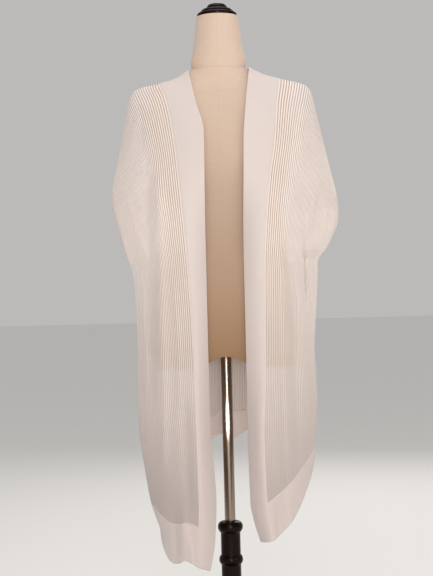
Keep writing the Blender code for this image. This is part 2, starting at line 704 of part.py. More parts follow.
def form_sections():
    """Sections of the dress form, upward: height, half width, front depth, back depth."""
    ridge = OUTLINES["right"].shoulder
    shoulder = []
    for z in FORM_SHOULDER_Z:
        on_ridge = np.interp(-(z + REST_GAP), -ridge[:, 1], ridge[:, 0])
        front, back = smooth(z, FORM_SHOULDER_DEPTH, 1), smooth(z, FORM_SHOULDER_DEPTH, 2)
        shoulder.append((z, float(on_ridge), float(front), float(back)))
    return list(FORM_SECTIONS) + shoulder + list(FORM_NECK)


def build_form(material, collection):
    sections = form_sections()
    around = np.linspace(0, 2 * math.pi, FORM_AROUND, endpoint=False)
    across, along_depth = np.cos(around), np.sin(around)
    socket_z = POLE_TOP + SEAM_GAP
    socket = (FORM_SOCKET_RADIUS * across, FORM_SOCKET_RADIUS * along_depth, np.full(FORM_AROUND, socket_z))
    rings = [np.stack(socket, -1)]
    for k, (z, half, front, back) in enumerate(sections):
        power = 2 / FORM_ROUNDING if k < len(FORM_SECTIONS) else 1.0
        x = half * np.sign(across) * np.abs(across) ** power
        depth = np.where(along_depth > 0, back, front)
        y = depth * np.sign(along_depth) * np.abs(along_depth) ** power
        arch = FORM_ARCH * np.exp(-((x / FORM_ARCH_WIDTH) ** 2)) * (k == 0)
        rings.append(np.stack([x, y, z + arch], -1))
    index = np.arange(len(rings) * FORM_AROUND).reshape(len(rings), FORM_AROUND)
    faces = []
    for low, high in zip(index[:-1], index[1:]):
        faces += list(zip(low, np.roll(low, -1), np.roll(high, -1), high))
    bottom, top = index.size, index.size + 1
    faces += [(after, here, bottom) for here, after in zip(index[0], np.roll(index[0], -1))]
    faces += [(here, after, top) for here, after in zip(index[-1], np.roll(index[-1], -1))]
    points = np.vstack(rings + [[(0.0, 0.0, socket_z), (0.0, 0.0, sections[-1][0])]])
    mesh = bpy.data.meshes.new("form_torso")
    mesh.from_pydata(points.tolist(), [], [tuple(int(i) for i in face) for face in faces])
    mesh.shade_smooth()
    made = bpy.data.objects.new("form_torso", mesh)
    made.data.materials.append(material)
    collection.objects.link(made)
    return made


def build_stand(wood, steel, collection):
    cap = [(radius, CAP_BASE + height) for radius, height in CAP_PROFILE]
    pole = rounded(POLE_DIAMETER / 2, POLE_TOP, COLLAR_TOP + SEAM_GAP, POLE_RIM, 1)
    foot = rounded(FOOT_DIAMETER / 2, FOOT_HEIGHT, 0.0, FOOT_RIM)
    pieces = (
        ("neck_cap", cap, wood),
        ("pole", pole, steel),
        ("stand_column", COLUMN_PROFILE, wood),
        ("stand_foot", foot, wood),
    )
    for name, profile, material in pieces:
        turned(name, profile, TURNED_STEPS[name], material, collection)


def main():
    for old in list(bpy.data.objects):
        bpy.data.objects.remove(old)
    collection = bpy.data.collections.new("cardigan_on_form")
    bpy.context.scene.collection.children.link(collection)
    mesh_cloth = Cloth(material_of("openwork_knit", (0.66, 0.60, 0.55), 0.9), MESH_WALL, True)
    plain_cloth = Cloth(material_of("plain_knit", (0.72, 0.66, 0.61), 0.88), PLAIN_WALL, False)
    linen = material_of("linen", (0.52, 0.39, 0.28), 0.85)
    wood = material_of("dark_wood", (0.018, 0.009, 0.006), 0.28)
    steel = material_of("steel", (0.42, 0.40, 0.38), 0.25, 1.0)
    for side in OUTLINES:
        build_front(side, mesh_cloth, plain_cloth, collection)
    build_back(mesh_cloth, plain_cloth, collection)
    build_form(linen, collection)
    build_stand(wood, steel, collection)


if __name__ == "__main__":
    main()
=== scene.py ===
"""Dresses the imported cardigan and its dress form.

Fine rib knit, plain bands, linked seams, linen, turned wood and steel.
"""

import math
from collections import namedtuple

import bpy
import numpy as np
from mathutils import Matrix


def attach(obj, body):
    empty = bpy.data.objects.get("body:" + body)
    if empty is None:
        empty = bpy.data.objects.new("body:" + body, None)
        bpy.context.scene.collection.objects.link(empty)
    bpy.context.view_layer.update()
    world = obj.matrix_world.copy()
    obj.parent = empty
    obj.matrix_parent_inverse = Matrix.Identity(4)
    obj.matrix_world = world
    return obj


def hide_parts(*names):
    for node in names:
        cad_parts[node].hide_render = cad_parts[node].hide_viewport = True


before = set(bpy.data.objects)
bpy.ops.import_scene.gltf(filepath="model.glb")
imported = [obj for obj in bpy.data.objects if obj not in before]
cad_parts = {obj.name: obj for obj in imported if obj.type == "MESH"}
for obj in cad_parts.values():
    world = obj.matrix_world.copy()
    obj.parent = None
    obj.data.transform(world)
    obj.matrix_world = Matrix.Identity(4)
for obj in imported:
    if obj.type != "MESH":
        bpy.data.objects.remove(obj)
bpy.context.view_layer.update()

bl_info = {
    "name": "Cardigan on a dress form",
    "version": (1, 0, 0),
    "blender": (4, 5, 0),
    "location": "3D View > Sidebar > Cardigan",
    "description": "Makes the knit, seams and finishes of a long open cardigan and of its dress form",
    "category": "Object",
}

BODY = "root"
SIDES = ("right", "left")

# The photographed outline of each half from the front: distance from the centre line, height.
SHOULDER = {
    "right": (
        (0.066, 1.328), (0.100, 1.309), (0.140, 1.298), (0.174, 1.2915), (0.190, 1.281),
        (0.199, 1.261), (0.204, 1.236), (0.213, 1.196), (0.221, 1.151), (0.235, 1.089), (0.2405, 1.060),
    ),
    "left": (
        (0.066, 1.332), (0.100, 1.314), (0.140, 1.303), (0.178, 1.294), (0.196, 1.283),
        (0.205, 1.261), (0.211, 1.228), (0.223, 1.174), (0.234, 1.123), (0.246, 1.073), (0.2515, 1.040),
    ),
}
CUFF = {
    "right": ((0.2395, 1.040), (0.235, 1.015), (0.227, 0.984), (0.215, 0.940), (0.204, 0.907)),
    "left": ((0.2525, 1.010), (0.250, 0.986), (0.240, 0.962), (0.225, 0.932), (0.208, 0.910)),
}
SIDE = {
    "right": (
        (0.197, 0.870), (0.194, 0.800), (0.192, 0.730), (0.195, 0.620), (0.192, 0.530),
        (0.184, 0.467), (0.172, 0.390), (0.153, 0.330),
    ),
    "left": (
        (0.205, 0.870), (0.200, 0.800), (0.194, 0.720), (0.196, 0.660), (0.197, 0.600),
        (0.193, 0.535), (0.188, 0.480), (0.184, 0.455),
    ),
}
LOW_RING = {
    "right": ((0.154, 0.290), (0.153, 0.250)),
    "left": ((0.180, 0.400), (0.170, 0.300)),
}
# Free edge of each front and the seam of its plain band: height, distance from the centre line.
FRONT_EDGE = {
    "right": ((1.328, 0.066), (1.250, 0.050), (1.180, 0.034), (0.950, 0.038), (0.550, 0.039),
              (0.400, 0.030), (0.310, 0.035), (0.250, 0.046)),
    "left": ((1.332, 0.066), (1.250, 0.056), (1.160, 0.048), (0.850, 0.044), (0.530, 0.044),
             (0.390, 0.046), (0.345, 0.054), (0.305, 0.066)),
}
BAND_SEAM = {
    "right": ((1.302, 0.128), (1.262, 0.113), (1.175, 0.098), (1.090, 0.089), (0.993, 0.081),
              (0.860, 0.072), (0.734, 0.067), (0.560, 0.065), (0.400, 0.064), (0.250, 0.072)),
    "left": ((1.307, 0.130), (1.247, 0.121), (1.159, 0.113), (1.085, 0.101), (0.950, 0.088),
             (0.856, 0.084), (0.673, 0.081), (0.528, 0.075), (0.400, 0.078), (0.305, 0.090)),
}
# Hem of each front from the band's seam to the side, and of the back from the centre to the side:
# distance, height.
FRONT_HEM = {
    "right": ((0.072, 0.262), (0.085, 0.271), (0.098, 0.275), (0.110, 0.266), (0.122, 0.264), (0.133, 0.270),
              (0.143, 0.288), (0.149, 0.309), (0.153, 0.330)),
    "left": ((0.090, 0.313), (0.108, 0.326), (0.125, 0.342), (0.143, 0.366), (0.160, 0.398), (0.174, 0.430),
             (0.184, 0.455)),
}
EDGE_HEM = {"right": 0.250, "left": 0.306}
BACK_HEM = {
    "right": ((0.000, 0.512), (0.018, 0.514), (0.042, 0.501), (0.070, 0.492), (0.095, 0.470), (0.125, 0.420),
              (0.145, 0.370), (0.153, 0.330)),
    "left": ((0.000, 0.512), (0.016, 0.506), (0.035, 0.516), (0.055, 0.527), (0.085, 0.518), (0.120, 0.506),
             (0.155, 0.488), (0.184, 0.455)),
}
# Depth of the cloth in front of and behind the centre plane, and how its ring is rounded:
# (1 - |x / a| ** n) ** m.
DEPTH = (
    # height, front, back, n, m
    (1.335, 0.052, 0.064, 2.0, 0.50),
    (1.300, 0.057, 0.082, 2.0, 0.50),
    (1.270, 0.072, 0.104, 2.0, 0.50),
    (1.240, 0.096, 0.113, 2.0, 0.55),
    (1.200, 0.119, 0.117, 2.0, 0.63),
    (1.160, 0.130, 0.118, 2.0, 0.72),
    (1.110, 0.132, 0.117, 2.0, 0.80),
    (1.000, 0.134, 0.119, 2.0, 0.80),
    (0.920, 0.137, 0.124, 2.1, 0.70),
    (0.840, 0.141, 0.132, 2.2, 0.55),
    (0.740, 0.142, 0.136, 2.3, 0.46),
    (0.600, 0.140, 0.132, 2.3, 0.46),
    (0.450, 0.134, 0.125, 2.2, 0.47),
    (0.250, 0.127, 0.118, 2.2, 0.48),
)
EDGE_FALL = (
    # height, depth
    (1.180, 0.000), (1.100, 0.007), (1.000, 0.029), (0.900, 0.035), (0.800, 0.031), (0.700, 0.035),
    (0.600, 0.046), (0.500, 0.052), (0.400, 0.050), (0.300, 0.036), (0.250, 0.024),
)
BACK_BAND_CENTRE = 1.263
BACK_BAND_CURVE = 2.2
SLEEVE_CUFF_GAP = {"right": 0.022, "left": 0.028}

# Folds that the solids share, then small creases, by sheet and side.
FOLDS = {
    # x high, z high, x low, z low, width, height
    ("front", "right"): (
        (0.132, 1.120, 0.138, 0.420, 0.013, 0.009),
        (0.158, 1.150, 0.162, 0.600, 0.012, -0.007),
        (0.088, 0.640, 0.082, 0.360, 0.010, -0.009),
        (0.099, 0.420, 0.098, 0.200, 0.010, 0.008),
        (0.115, 0.400, 0.118, 0.200, 0.009, -0.007),
    ),
    ("front", "left"): (
        (0.120, 0.980, 0.124, 0.400, 0.013, 0.009),
        (0.170, 1.000, 0.172, 0.780, 0.008, -0.009),
        (0.148, 0.860, 0.146, 0.450, 0.012, -0.006),
        (0.108, 0.470, 0.112, 0.250, 0.012, -0.008),
    ),
    ("back", "right"): (
        (0.118, 1.120, 0.126, 0.360, 0.016, 0.010),
        (0.080, 1.020, 0.084, 0.400, 0.014, -0.007),
        (0.036, 0.900, 0.040, 0.400, 0.016, 0.008),
    ),
    ("back", "left"): (
        (0.022, 0.820, 0.018, 0.400, 0.013, -0.006),
        (0.070, 1.050, 0.066, 0.400, 0.016, 0.009),
        (0.112, 1.000, 0.108, 0.400, 0.014, -0.008),
        (0.150, 1.000, 0.150, 0.400, 0.013, 0.008),
    ),
}
CREASES = {
    # x high, z high, x low, z low, width, height
    ("front", "right"): (
        (0.204, 1.020, 0.150, 0.860, 0.0050, 0.0026),
        (0.196, 0.960, 0.160, 0.800, 0.0045, -0.0022),
        (0.216, 1.090, 0.180, 0.930, 0.0055, 0.0020),
        (0.182, 0.830, 0.176, 0.560, 0.0060, 0.0024),
        (0.146, 0.760, 0.150, 0.470, 0.0050, -0.0018),
        (0.112, 0.900, 0.106, 0.560, 0.0055, 0.0020),
        (0.176, 1.270, 0.168, 1.120, 0.0060, -0.0016),
        (0.050, 0.700, 0.046, 0.360, 0.0055, 0.0016),
        (0.191, 0.935, 0.184, 0.720, 0.0030, -0.0034),
        (0.199, 0.925, 0.190, 0.700, 0.0045, 0.0026),
        (0.226, 0.9090, 0.176, 0.9050, 0.0016, -0.0050),
        (0.090, 0.350, 0.084, 0.200, 0.0038, 0.0036),
        (0.100, 0.335, 0.104, 0.215, 0.0035, -0.0030),
        (0.122, 0.345, 0.126, 0.205, 0.0040, 0.0034),
        (0.138, 0.350, 0.137, 0.225, 0.0035, -0.0028),
    ),
    ("front", "left"): (
        (0.214, 1.060, 0.170, 0.900, 0.0055, 0.0024),
        (0.226, 1.100, 0.196, 0.960, 0.0050, -0.0020),
        (0.186, 0.900, 0.184, 0.640, 0.0050, 0.0026),
        (0.104, 0.840, 0.100, 0.520, 0.0050, -0.0018),
        (0.160, 0.660, 0.162, 0.430, 0.0055, 0.0024),
        (0.134, 0.560, 0.138, 0.380, 0.0045, 0.0018),
        (0.184, 1.280, 0.172, 1.130, 0.0060, 0.0014),
        (0.062, 0.640, 0.064, 0.380, 0.0055, -0.0016),
        (0.176, 0.935, 0.178, 0.800, 0.0026, -0.0045),
        (0.187, 0.930, 0.188, 0.790, 0.0040, 0.0038),
        (0.232, 0.9150, 0.164, 0.9090, 0.0016, -0.0050),
        (0.228, 1.050, 0.222, 0.955, 0.0045, 0.0030),
        (0.212, 1.010, 0.196, 0.925, 0.0040, -0.0028),
        (0.100, 0.400, 0.108, 0.270, 0.0050, -0.0030),
        (0.124, 0.420, 0.136, 0.290, 0.0050, 0.0028),
        (0.164, 0.480, 0.166, 0.350, 0.0045, -0.0024),
    ),
    ("back", "right"): (
        (0.206, 1.040, 0.150, 0.880, 0.0055, 0.0026),
        (0.176, 0.860, 0.170, 0.540, 0.0060, -0.0024),
        (0.102, 0.780, 0.104, 0.480, 0.0050, 0.0020),
        (0.058, 0.720, 0.062, 0.500, 0.0055, 0.0022),
        (0.140, 1.240, 0.120, 1.080, 0.0070, 0.0016),
    ),
    ("back", "left"): (
        (0.216, 1.050, 0.160, 0.880, 0.0055, 0.0024),
        (0.130, 0.820, 0.132, 0.530, 0.0050, -0.0022),
        (0.046, 0.760, 0.044, 0.520, 0.0055, 0.0020),
        (0.176, 0.820, 0.178, 0.560, 0.0055, 0.0022),
        (0.090, 1.220, 0.078, 1.060, 0.0070, -0.0014),
    ),
}
FOLD_FADE = 0.09
CREASE_FADE = 0.3
CREASE_BEND = 0.12
FOLD_EDGE_FADE = 0.35
SLEEVE_ROUNDING = 0.8
EDGE_FALL_POWER = 1.6
# How quickly the shape of the top and of the hem dies away along the wales.
PANEL_TOP_POWER = {"front": 2.5, "back": 3.0}
PANEL_HEM_POWER = 7
SEAM_TOP_POWER = 60
BAND_TOP_POWER = 40

# Dress form, each section a rounded ring: height, half width, front depth, back depth.
FORM_SECTIONS = (
    (0.679, 0.150, 0.097, 0.108),
    (0.735, 0.157, 0.103, 0.122),
    (0.800, 0.159, 0.105, 0.127),
    (0.880, 0.149, 0.099, 0.116),
    (0.960, 0.129, 0.090, 0.092),
    (1.030, 0.130, 0.094, 0.088),
    (1.090, 0.141, 0.110, 0.094),
    (1.135, 0.150, 0.119, 0.101),
    (1.170, 0.156, 0.117, 0.105),
    (1.210, 0.166, 0.102, 0.106),
    (1.245, 0.176, 0.079, 0.100),
    (1.268, 0.180, 0.062, 0.090),
)
FORM_SHOULDER_Z = (1.278, 1.284, 1.288, 1.292, 1.297, 1.304, 1.313, 1.321)
FORM_SHOULDER_DEPTH = (
    (1.268, 0.060, 0.088), (1.290, 0.047, 0.070), (1.310, 0.041, 0.055), (1.325, 0.043, 0.052),
)
FORM_NECK = (
    (1.333, 0.0590, 0.0440, 0.0520),
    (1.346, 0.0610, 0.0468, 0.0530),
    (1.373, 0.0553, 0.0486, 0.0516),
    (1.407, 0.0503, 0.0476, 0.0486),
    (1.4462, 0.0456, 0.0456, 0.0456),
)
FORM_ROUNDING = 2.3
FORM_ARCH = 0.025
FORM_ARCH_WIDTH = 0.045
FORM_SOCKET_RADIUS = 0.020
REST_GAP = 0.0030
POLE_TOP = 0.7037
POLE_RADIUS = 0.01175
SEAM_GAP = 0.0003

# Turned pieces of the stand, each with its profile: radius, height.
CAP_BASE = 1.4465
COLLAR_TOP = 0.3375
FOOT_HEIGHT = 0.026
CAP_PROFILE = (
    (0.0000, 0.0300), (0.0110, 0.0295), (0.0195, 0.0265), (0.0230, 0.0215), (0.0230, 0.0180),
    (0.0320, 0.0165), (0.0355, 0.0135), (0.0365, 0.0095), (0.0425, 0.0080), (0.0445, 0.0050),
    (0.0440, 0.0015), (0.0420, 0.0000), (0.0000, 0.0000),
)
COLUMN_PROFILE = (
    (0.0000, 0.3375), (0.0190, 0.3375), (0.0245, 0.3345), (0.0275, 0.3285), (0.0275, 0.3215),
    (0.0245, 0.3155), (0.0215, 0.3125), (0.0215, 0.2635), (0.0245, 0.2605), (0.0262, 0.2555),
    (0.0262, 0.2495), (0.0240, 0.2455), (0.0215, 0.2415), (0.0215, 0.0750), (0.0260, 0.0600),
    (0.0360, 0.0450), (0.0500, 0.0370), (0.0520, 0.0310), (0.0520, 0.0263), (0.0000, 0.0263),
)
FOOT_PROFILE = (
    (0.0000, FOOT_HEIGHT), (0.1620, FOOT_HEIGHT), (0.1700, 0.0245), (0.1745, 0.0190),
    (0.1750, 0.0100), (0.1720, 0.0030), (0.1660, 0.0000), (0.0000, 0.0000),
)

# How the cloth is divided. The parameter along a wale runs from 0 at the shoulder to 1 at the hem.
UNDERARM_SHARE = 0.225
NEAR_RIDGE = 0.12
HEM_BAND_START = 0.925
CUFF_WIDTH = 0.016
CUFF_END_WIDTH = 0.003
DENSE_ROWS = 321
DENSE_COLUMNS = 221
COLUMNS_PER_WALE = 4
ROW_SPACING = 0.006
BAND_SPACING = 0.004
CUFF_SPACING = 0.003
UNDERARM_ROWS = (-0.008, 0.034, 33)
FREE_EDGE_ROLL = 0.45
ROLL_PLACE = 0.003
ROLL_WIDTH = 0.0022
EASE_OF_CUT = 1.02

# How far the seams stand off the inside of their sheet, and how thin those on plain bands and cuffs are.
SEAM_LIFT_ON_EDGE = 0.0009
SEAM_LIFT_ON_PANEL = 0.0013
SEAM_LIFT_ON_BAND = 0.0015
BAND_SEAM_SHARE = 0.8
CUFF_SEAM_SHARE = 0.7

# Lights: name, place, width, the property that holds the power, tint, the point that it is aimed at.
FORM_MIDDLE = (0.0, 0.0, 0.85)
LAMPS = (
    ("key_light", (-0.2, -2.7, 2.2), 1.8, "key_power", (1.0, 0.965, 0.93), FORM_MIDDLE),
    ("fill_light", (2.2, -1.6, 1.5), 1.6, "fill_power", (1.0, 0.95, 0.91), FORM_MIDDLE),
    ("top_light", (0.0, 0.3, 3.4), 2.0, "top_power", (1.0, 0.96, 0.93), FORM_MIDDLE),
    ("low_light", (0.15, -3.1, 0.9), 0.8, "low_power", (1.0, 0.95, 0.91), FORM_MIDDLE),
    ("back_light", (0.7, 2.9, 2.1), 1.8, "back_power", (1.0, 0.97, 0.94), FORM_MIDDLE),
    ("inner_light", (0.0, -0.075, 0.56), 0.09, "inner_power", (1.0, 0.92, 0.85), (0.0, 0.2, 0.57)),
)
SKY_COLOUR = (1.0, 0.985, 0.97, 1.0)
FLOOR_FIBRE_COLOUR = (0.84, 0.83, 0.81)
FLOOR_HALF_WIDTH = 30.0
SENSOR_WIDTH = 36.0
AXIS_OFFSET_PX = 7.7
FRAME_HEIGHT_PX = 576
CAMERA_ROLL = 0.0259

# Where the knit is painted darker toward the hem as shade, and where the form's lit linen is painted onto the
# openwork as a glow.
CHEST_SHADE_Z = 0.95
SHADE_DROP = 0.55
GLOW_WAIST_Z = 1.0
GLOW_WAIST_REACH = 0.1
GLOW_WAIST_INSET = 0.025
GLOW_HALF_WIDTH = 0.152
GLOW_EDGE = 0.02
GLOW_LOW_Z = 0.675
GLOW_LOW_EDGE = 0.01
NOISE_ROUGHNESS = 0.55
THREAD_PITCH = 0.0011
CENTRE_SEAM_X = -0.002
NECK_SEAM_Z = 1.331
# Painted shade on the linen, from this height down.
LINEN_SHADE_Z = 1.30
LINEN_SHADE_DROP = 0.62

Piece = namedtuple("Piece", "name sheet way rows low high nodes")


def smooth(x, table, column=1):
    """Reads a table's column at x, on a smooth curve that doesn't overshoot between rows."""
    rows = sorted(table)
    xs = np.array([row[0] for row in rows])
    ys = np.array([row[column] for row in rows])
    step = np.diff(xs)
    slope = np.diff(ys) / step
    total = slope[1:] + slope[:-1]
    mean = 2 * slope[1:] * slope[:-1] / np.where(total == 0, 1, total)
    inner = np.where(slope[1:] * slope[:-1] > 0, mean, 0)
    tangent = np.concatenate([[slope[0]], inner, [slope[-1]]])
    x = np.clip(np.asarray(x, float), xs[0], xs[-1])
    at = np.clip(np.searchsorted(xs, x) - 1, 0, len(step) - 1)
    t = (x - xs[at]) / step[at]
    return (
        (1 + 2 * t) * (1 - t) ** 2 * ys[at]
        + t * (1 - t) ** 2 * step[at] * tangent[at]
        + t * t * (3 - 2 * t) * ys[at + 1]
        + t * t * (t - 1) * step[at] * tangent[at + 1]
    )


def curve_through(points, per_span=16):
    """A dense Catmull-Rom curve through points."""
    points = np.array(points, float)
    ends = np.vstack([2 * points[0] - points[1], points, 2 * points[-1] - points[-2]])
    t = np.linspace(0, 1, per_span, endpoint=False)[:, None]
    spans = []
    for a, b, c, d in zip(ends[:-3], ends[1:-2], ends[2:-1], ends[3:]):
        spans.append(
            0.5 * (2 * b + (c - a) * t + (2 * a - 5 * b + 4 * c - d) * t**2 + (3 * b - a - 3 * c + d) * t**3)
        )
    return np.vstack(spans + [points[-1:]])


def along(curve, share):
    """Points of a dense curve at shares of its length."""
    step = np.linalg.norm(np.diff(curve, axis=0), axis=1)
    length = np.concatenate([[0], np.cumsum(step)])
    at = np.asarray(share) * length[-1]
    return np.stack([np.interp(at, length, curve[:, k]) for k in range(curve.shape[1])], -1)


def fade(value):
    """A soft step from 0 to 1."""
    value = np.clip(value, 0, 1)
    return value * value * (3 - 2 * value)


class Outline:
    """The silhouette of one half of the cardigan, cut into its shoulder, cuff and side."""

    def __init__(self, side):
        shoulder, cuff, seam = SHOULDER[side], CUFF[side], SIDE[side]
        whole = curve_through(shoulder + cuff + seam)
        self.cuff_top_z = shoulder[-1][1]
        self.underarm_z = cuff[-1][1]
        height = whole[:, 1]
        self.shoulder = whole[height >= self.cuff_top_z - 1e-9]
        self.cuff = whole[(height <= self.cuff_top_z + 1e-9) & (height >= self.underarm_z - 1e-9)]
        self.seam = whole[height <= self.underarm_z + 1e-9]
        low = curve_through((seam[-2], seam[-1]) + LOW_RING[side])
        ring = np.vstack([whole, low[low[:, 1] < seam[-1][1] - 1e-4]])
        order = np.argsort(ring[:, 1])
        self.heights, self.widths = ring[order, 1], ring[order, 0]

    def half_width(self, z):
        """Distance of the silhouette from the centre line at a height."""
        return np.interp(z, self.heights, self.widths)

    def outer(self, share):
        """The border from the cuff's top corner to the hem, which meets the underarm at one share."""
        cuff = along(self.cuff, np.clip(share / UNDERARM_SHARE, 0, 1))
        seam = along(self.seam, np.clip((share - UNDERARM_SHARE) / (1 - UNDERARM_SHARE), 0, 1))
        return np.where((share <= UNDERARM_SHARE)[..., None], cuff, seam)

    def shoulder_from(self, x):
        """The shoulder stretch from a distance x off the centre line to the cuff's top corner."""
        start = int(np.argmax(self.shoulder[:, 0] >= x))
        share = (x - self.shoulder[start - 1, 0]) / (self.shoulder[start, 0] - self.shoulder[start - 1, 0])
        first = self.shoulder[start - 1] + share * (self.shoulder[start] - self.shoulder[start - 1])
        return np.vstack([first[None], self.shoulder[start:]])


OUTLINES = {side: Outline(side) for side in SIDES}


def ridges(sheet, side, x, z):
    """Height of the large folds over the plain sheet."""
    out = np.zeros_like(x)
    for x_high, z_high, x_low, z_low, width, height in FOLDS[sheet, side]:
        share = np.clip((z_high - z) / (z_high - z_low), 0, 1)
        centre = x_high + (x_low - x_high) * share
        window = fade((z_high - z) / FOLD_FADE) * fade((z - z_low) / FOLD_FADE)
        out += height * window * np.exp(-(((x - centre) / width) ** 2))
    return out


def creases(sheet, side, x, z):
    """Height of the small creases: each a soft ridge or valley along a line, fading towards both ends."""
    out = np.zeros_like(x)
    for x_from, z_from, x_to, z_to, width, height in CREASES[sheet, side]:
        way = np.array((x_to - x_from, z_to - z_from))
        long = math.hypot(*way)
        way /= long
        reach = ((x - x_from) * way[0] + (z - z_from) * way[1]) / long
        off = (x - x_from) * way[1] - (z - z_from) * way[0]
        bend = CREASE_BEND * long * reach * (1 - reach)
        window = fade(reach / CREASE_FADE) * fade((1 - reach) / CREASE_FADE)
        out += height * window * np.exp(-(((off - bend) / width) ** 2))
    return out


def depth_at(sheet, side, x, z):
    """How far the cloth's inside lies from the centre plane, in front or behind, at x off the centre."""
    shape = OUTLINES[side]
    most = smooth(z, DEPTH, 1 if sheet == "front" else 2)
    across = np.clip(x / shape.half_width(z), 0, 1)
    ring = np.clip(1 - across ** smooth(z, DEPTH, 3), 0, 1) ** smooth(z, DEPTH, 4)
    up = np.clip((z - shape.underarm_z) / (shape.cuff_top_z - shape.underarm_z), 0, 1)
    gap = SLEEVE_CUFF_GAP[side] * np.sin(math.pi * up) ** SLEEVE_ROUNDING
    folds = ridges(sheet, side, x, z) + creases(sheet, side, x, z)
    depth = gap + (most - gap) * ring + folds * fade(ring / FOLD_EDGE_FADE)
    if sheet == "front":
        edge, seam = smooth(z, FRONT_EDGE[side]), smooth(z, BAND_SEAM[side])
        inward = np.clip((seam - x) / (seam - edge), 0, 1)
        depth = depth - smooth(z, EDGE_FALL) * inward**EDGE_FALL_POWER
    return depth


def lifted(sheet, side, xz):
    """Points seen from the front, given their depth on the front or back sheet."""
    x, z = xz[..., 0], xz[..., 1]
    way = -1 if sheet == "front" else 1
    mirror = -1 if side == "right" else 1
    return np.stack([mirror * x, way * depth_at(sheet, side, np.abs(x), z), z], -1)


def wale_share(q):
    """Turns the parameter along a wale into a share of its length, slower near the shoulder."""
    q = np.asarray(q, float)
    return (1 + NEAR_RIDGE) * q * q / (q + NEAR_RIDGE)


def first_row_under_arm():
    """The first row of a sheet's grid that lies below the sleeve."""
    return int(np.argmax(wale_share(np.linspace(0, 1, DENSE_ROWS)) >= UNDERARM_SHARE))


def underarm_row():
    """The parameter along a wale at the underarm."""
    q = np.linspace(0, 1, DENSE_ROWS)
    return float(np.interp(UNDERARM_SHARE, wale_share(q), q))


def unit(vectors):
    """The same vectors with length 1."""
    return vectors / np.maximum(np.linalg.norm(vectors, axis=-1, keepdims=True), 1e-12)


class Sheet:
    """A stretch of the cloth as a dense grid, read at any share down and across."""

    def __init__(self, grid, outward):
        self.grid = grid
        normal = unit(np.cross(np.gradient(grid, axis=0), np.gradient(grid, axis=1)))
        self.normal = normal if np.mean(normal @ np.array(outward)) > 0 else -normal
        self.widths = np.linalg.norm(np.diff(grid, axis=1), axis=-1).sum(1)

    def flatten(self, rows, columns):
        """Turns normals into the centre plane, where the sheet meets its mirror half."""
        self.normal[rows, columns, 1] = 0
        self.normal = unit(self.normal)

    def read(self, values, q, u):
        """Values between the grid's points, at a share q down and u across."""
        rows, columns = values.shape[:2]
        r, c = np.broadcast_arrays(np.asarray(q) * (rows - 1), np.asarray(u) * (columns - 1))
        r0 = np.clip(np.floor(r).astype(int), 0, rows - 2)
        c0 = np.clip(np.floor(c).astype(int), 0, columns - 2)
        fr, fc = (r - r0)[..., None], (c - c0)[..., None]
        return (
            values[r0, c0] * (1 - fr) * (1 - fc)
            + values[r0, c0 + 1] * (1 - fr) * fc
            + values[r0 + 1, c0] * fr * (1 - fc)
            + values[r0 + 1, c0 + 1] * fr * fc
        )

    def at(self, q, u):
        """Points on the sheet, and the directions that face out of the garment there."""
        return self.read(self.grid, q, u), unit(self.read(self.normal, q, u))

    def width_at(self, q):
        """Length across the sheet at a share down."""
        return np.interp(q, np.linspace(0, 1, len(self.widths)), self.widths)


def blended_rows(inner, outer, top, hem, top_power):
    """Rows between an inner and an outer border that start on the top curve and end on the hem."""
    v = wale_share(np.linspace(0, 1, DENSE_ROWS))[:, None, None]
    t = np.linspace(0, 1, DENSE_COLUMNS)
    left, right = inner(v[:, 0, 0]), outer(v[:, 0, 0])
    rows = left[:, None] + (right - left)[:, None] * t[None, :, None]
    for curve, weight in ((top, (1 - v) ** top_power), (hem, v**PANEL_HEM_POWER)):
        shape = along(curve, t)
        chord = shape[0] + (shape[-1] - shape[0]) * t[:, None]
        rows = rows + weight * (shape - chord)[None]
    return rows


def evened(grid):
    """The same grid with its columns spread evenly along each row."""
    t = np.linspace(0, 1, grid.shape[1])
    return np.stack([along(row, t) for row in grid])


def front_sheet(side):
    """The openwork of a front with its half of the sleeve, from the band's seam to the outer border."""
    shape = OUTLINES[side]
    hem_z = FRONT_HEM[side][0][1]
    top = shape.shoulder_from(BAND_SEAM[side][0][1])

    def seam(v):
        z = top[0, 1] + (hem_z - top[0, 1]) * v
        x = smooth(z, BAND_SEAM[side])
        return np.stack([x + (top[0, 0] - x) * (1 - v) ** SEAM_TOP_POWER, z], -1)

    hem = curve_through(FRONT_HEM[side])
    hem[0] = seam(np.array([1.0]))[0]
    rows = blended_rows(seam, shape.outer, top, hem, PANEL_TOP_POWER["front"])
    sheet = Sheet(evened(lifted("front", side, rows)), (0, -1, 0))
    sheet.flatten(0, slice(None))
    sheet.flatten(slice(first_row_under_arm(), None), -1)
    return sheet


def band_sheet(side, front):
    """The plain band of a front, from its free edge to the seam with the front."""
    seam = front.grid[:, 0]
    neck_x, neck_z = SHOULDER[side][0]
    v = wale_share(np.linspace(0, 1, DENSE_ROWS))
    edge_z = neck_z + (EDGE_HEM[side] - neck_z) * v
    edge = np.stack([smooth(edge_z, FRONT_EDGE[side]), edge_z], -1)
    edge[0] = (neck_x, neck_z)
    outer = np.stack([np.abs(seam[:, 0]), seam[:, 2]], -1)
    rows = edge[:, None] + (outer - edge)[:, None] * np.linspace(0, 1, DENSE_COLUMNS)[None, :, None]
    ridge = OUTLINES[side].shoulder
    above_line = np.interp(rows[0, :, 0], ridge[:, 0], ridge[:, 1]) - rows[0, :, 1]
    rows[:, :, 1] += (1 - v[:, None]) ** BAND_TOP_POWER * above_line
    sheet = Sheet(evened(lifted("front", side, rows)), (0, -1, 0))
    sheet.flatten(0, slice(None))
    return sheet


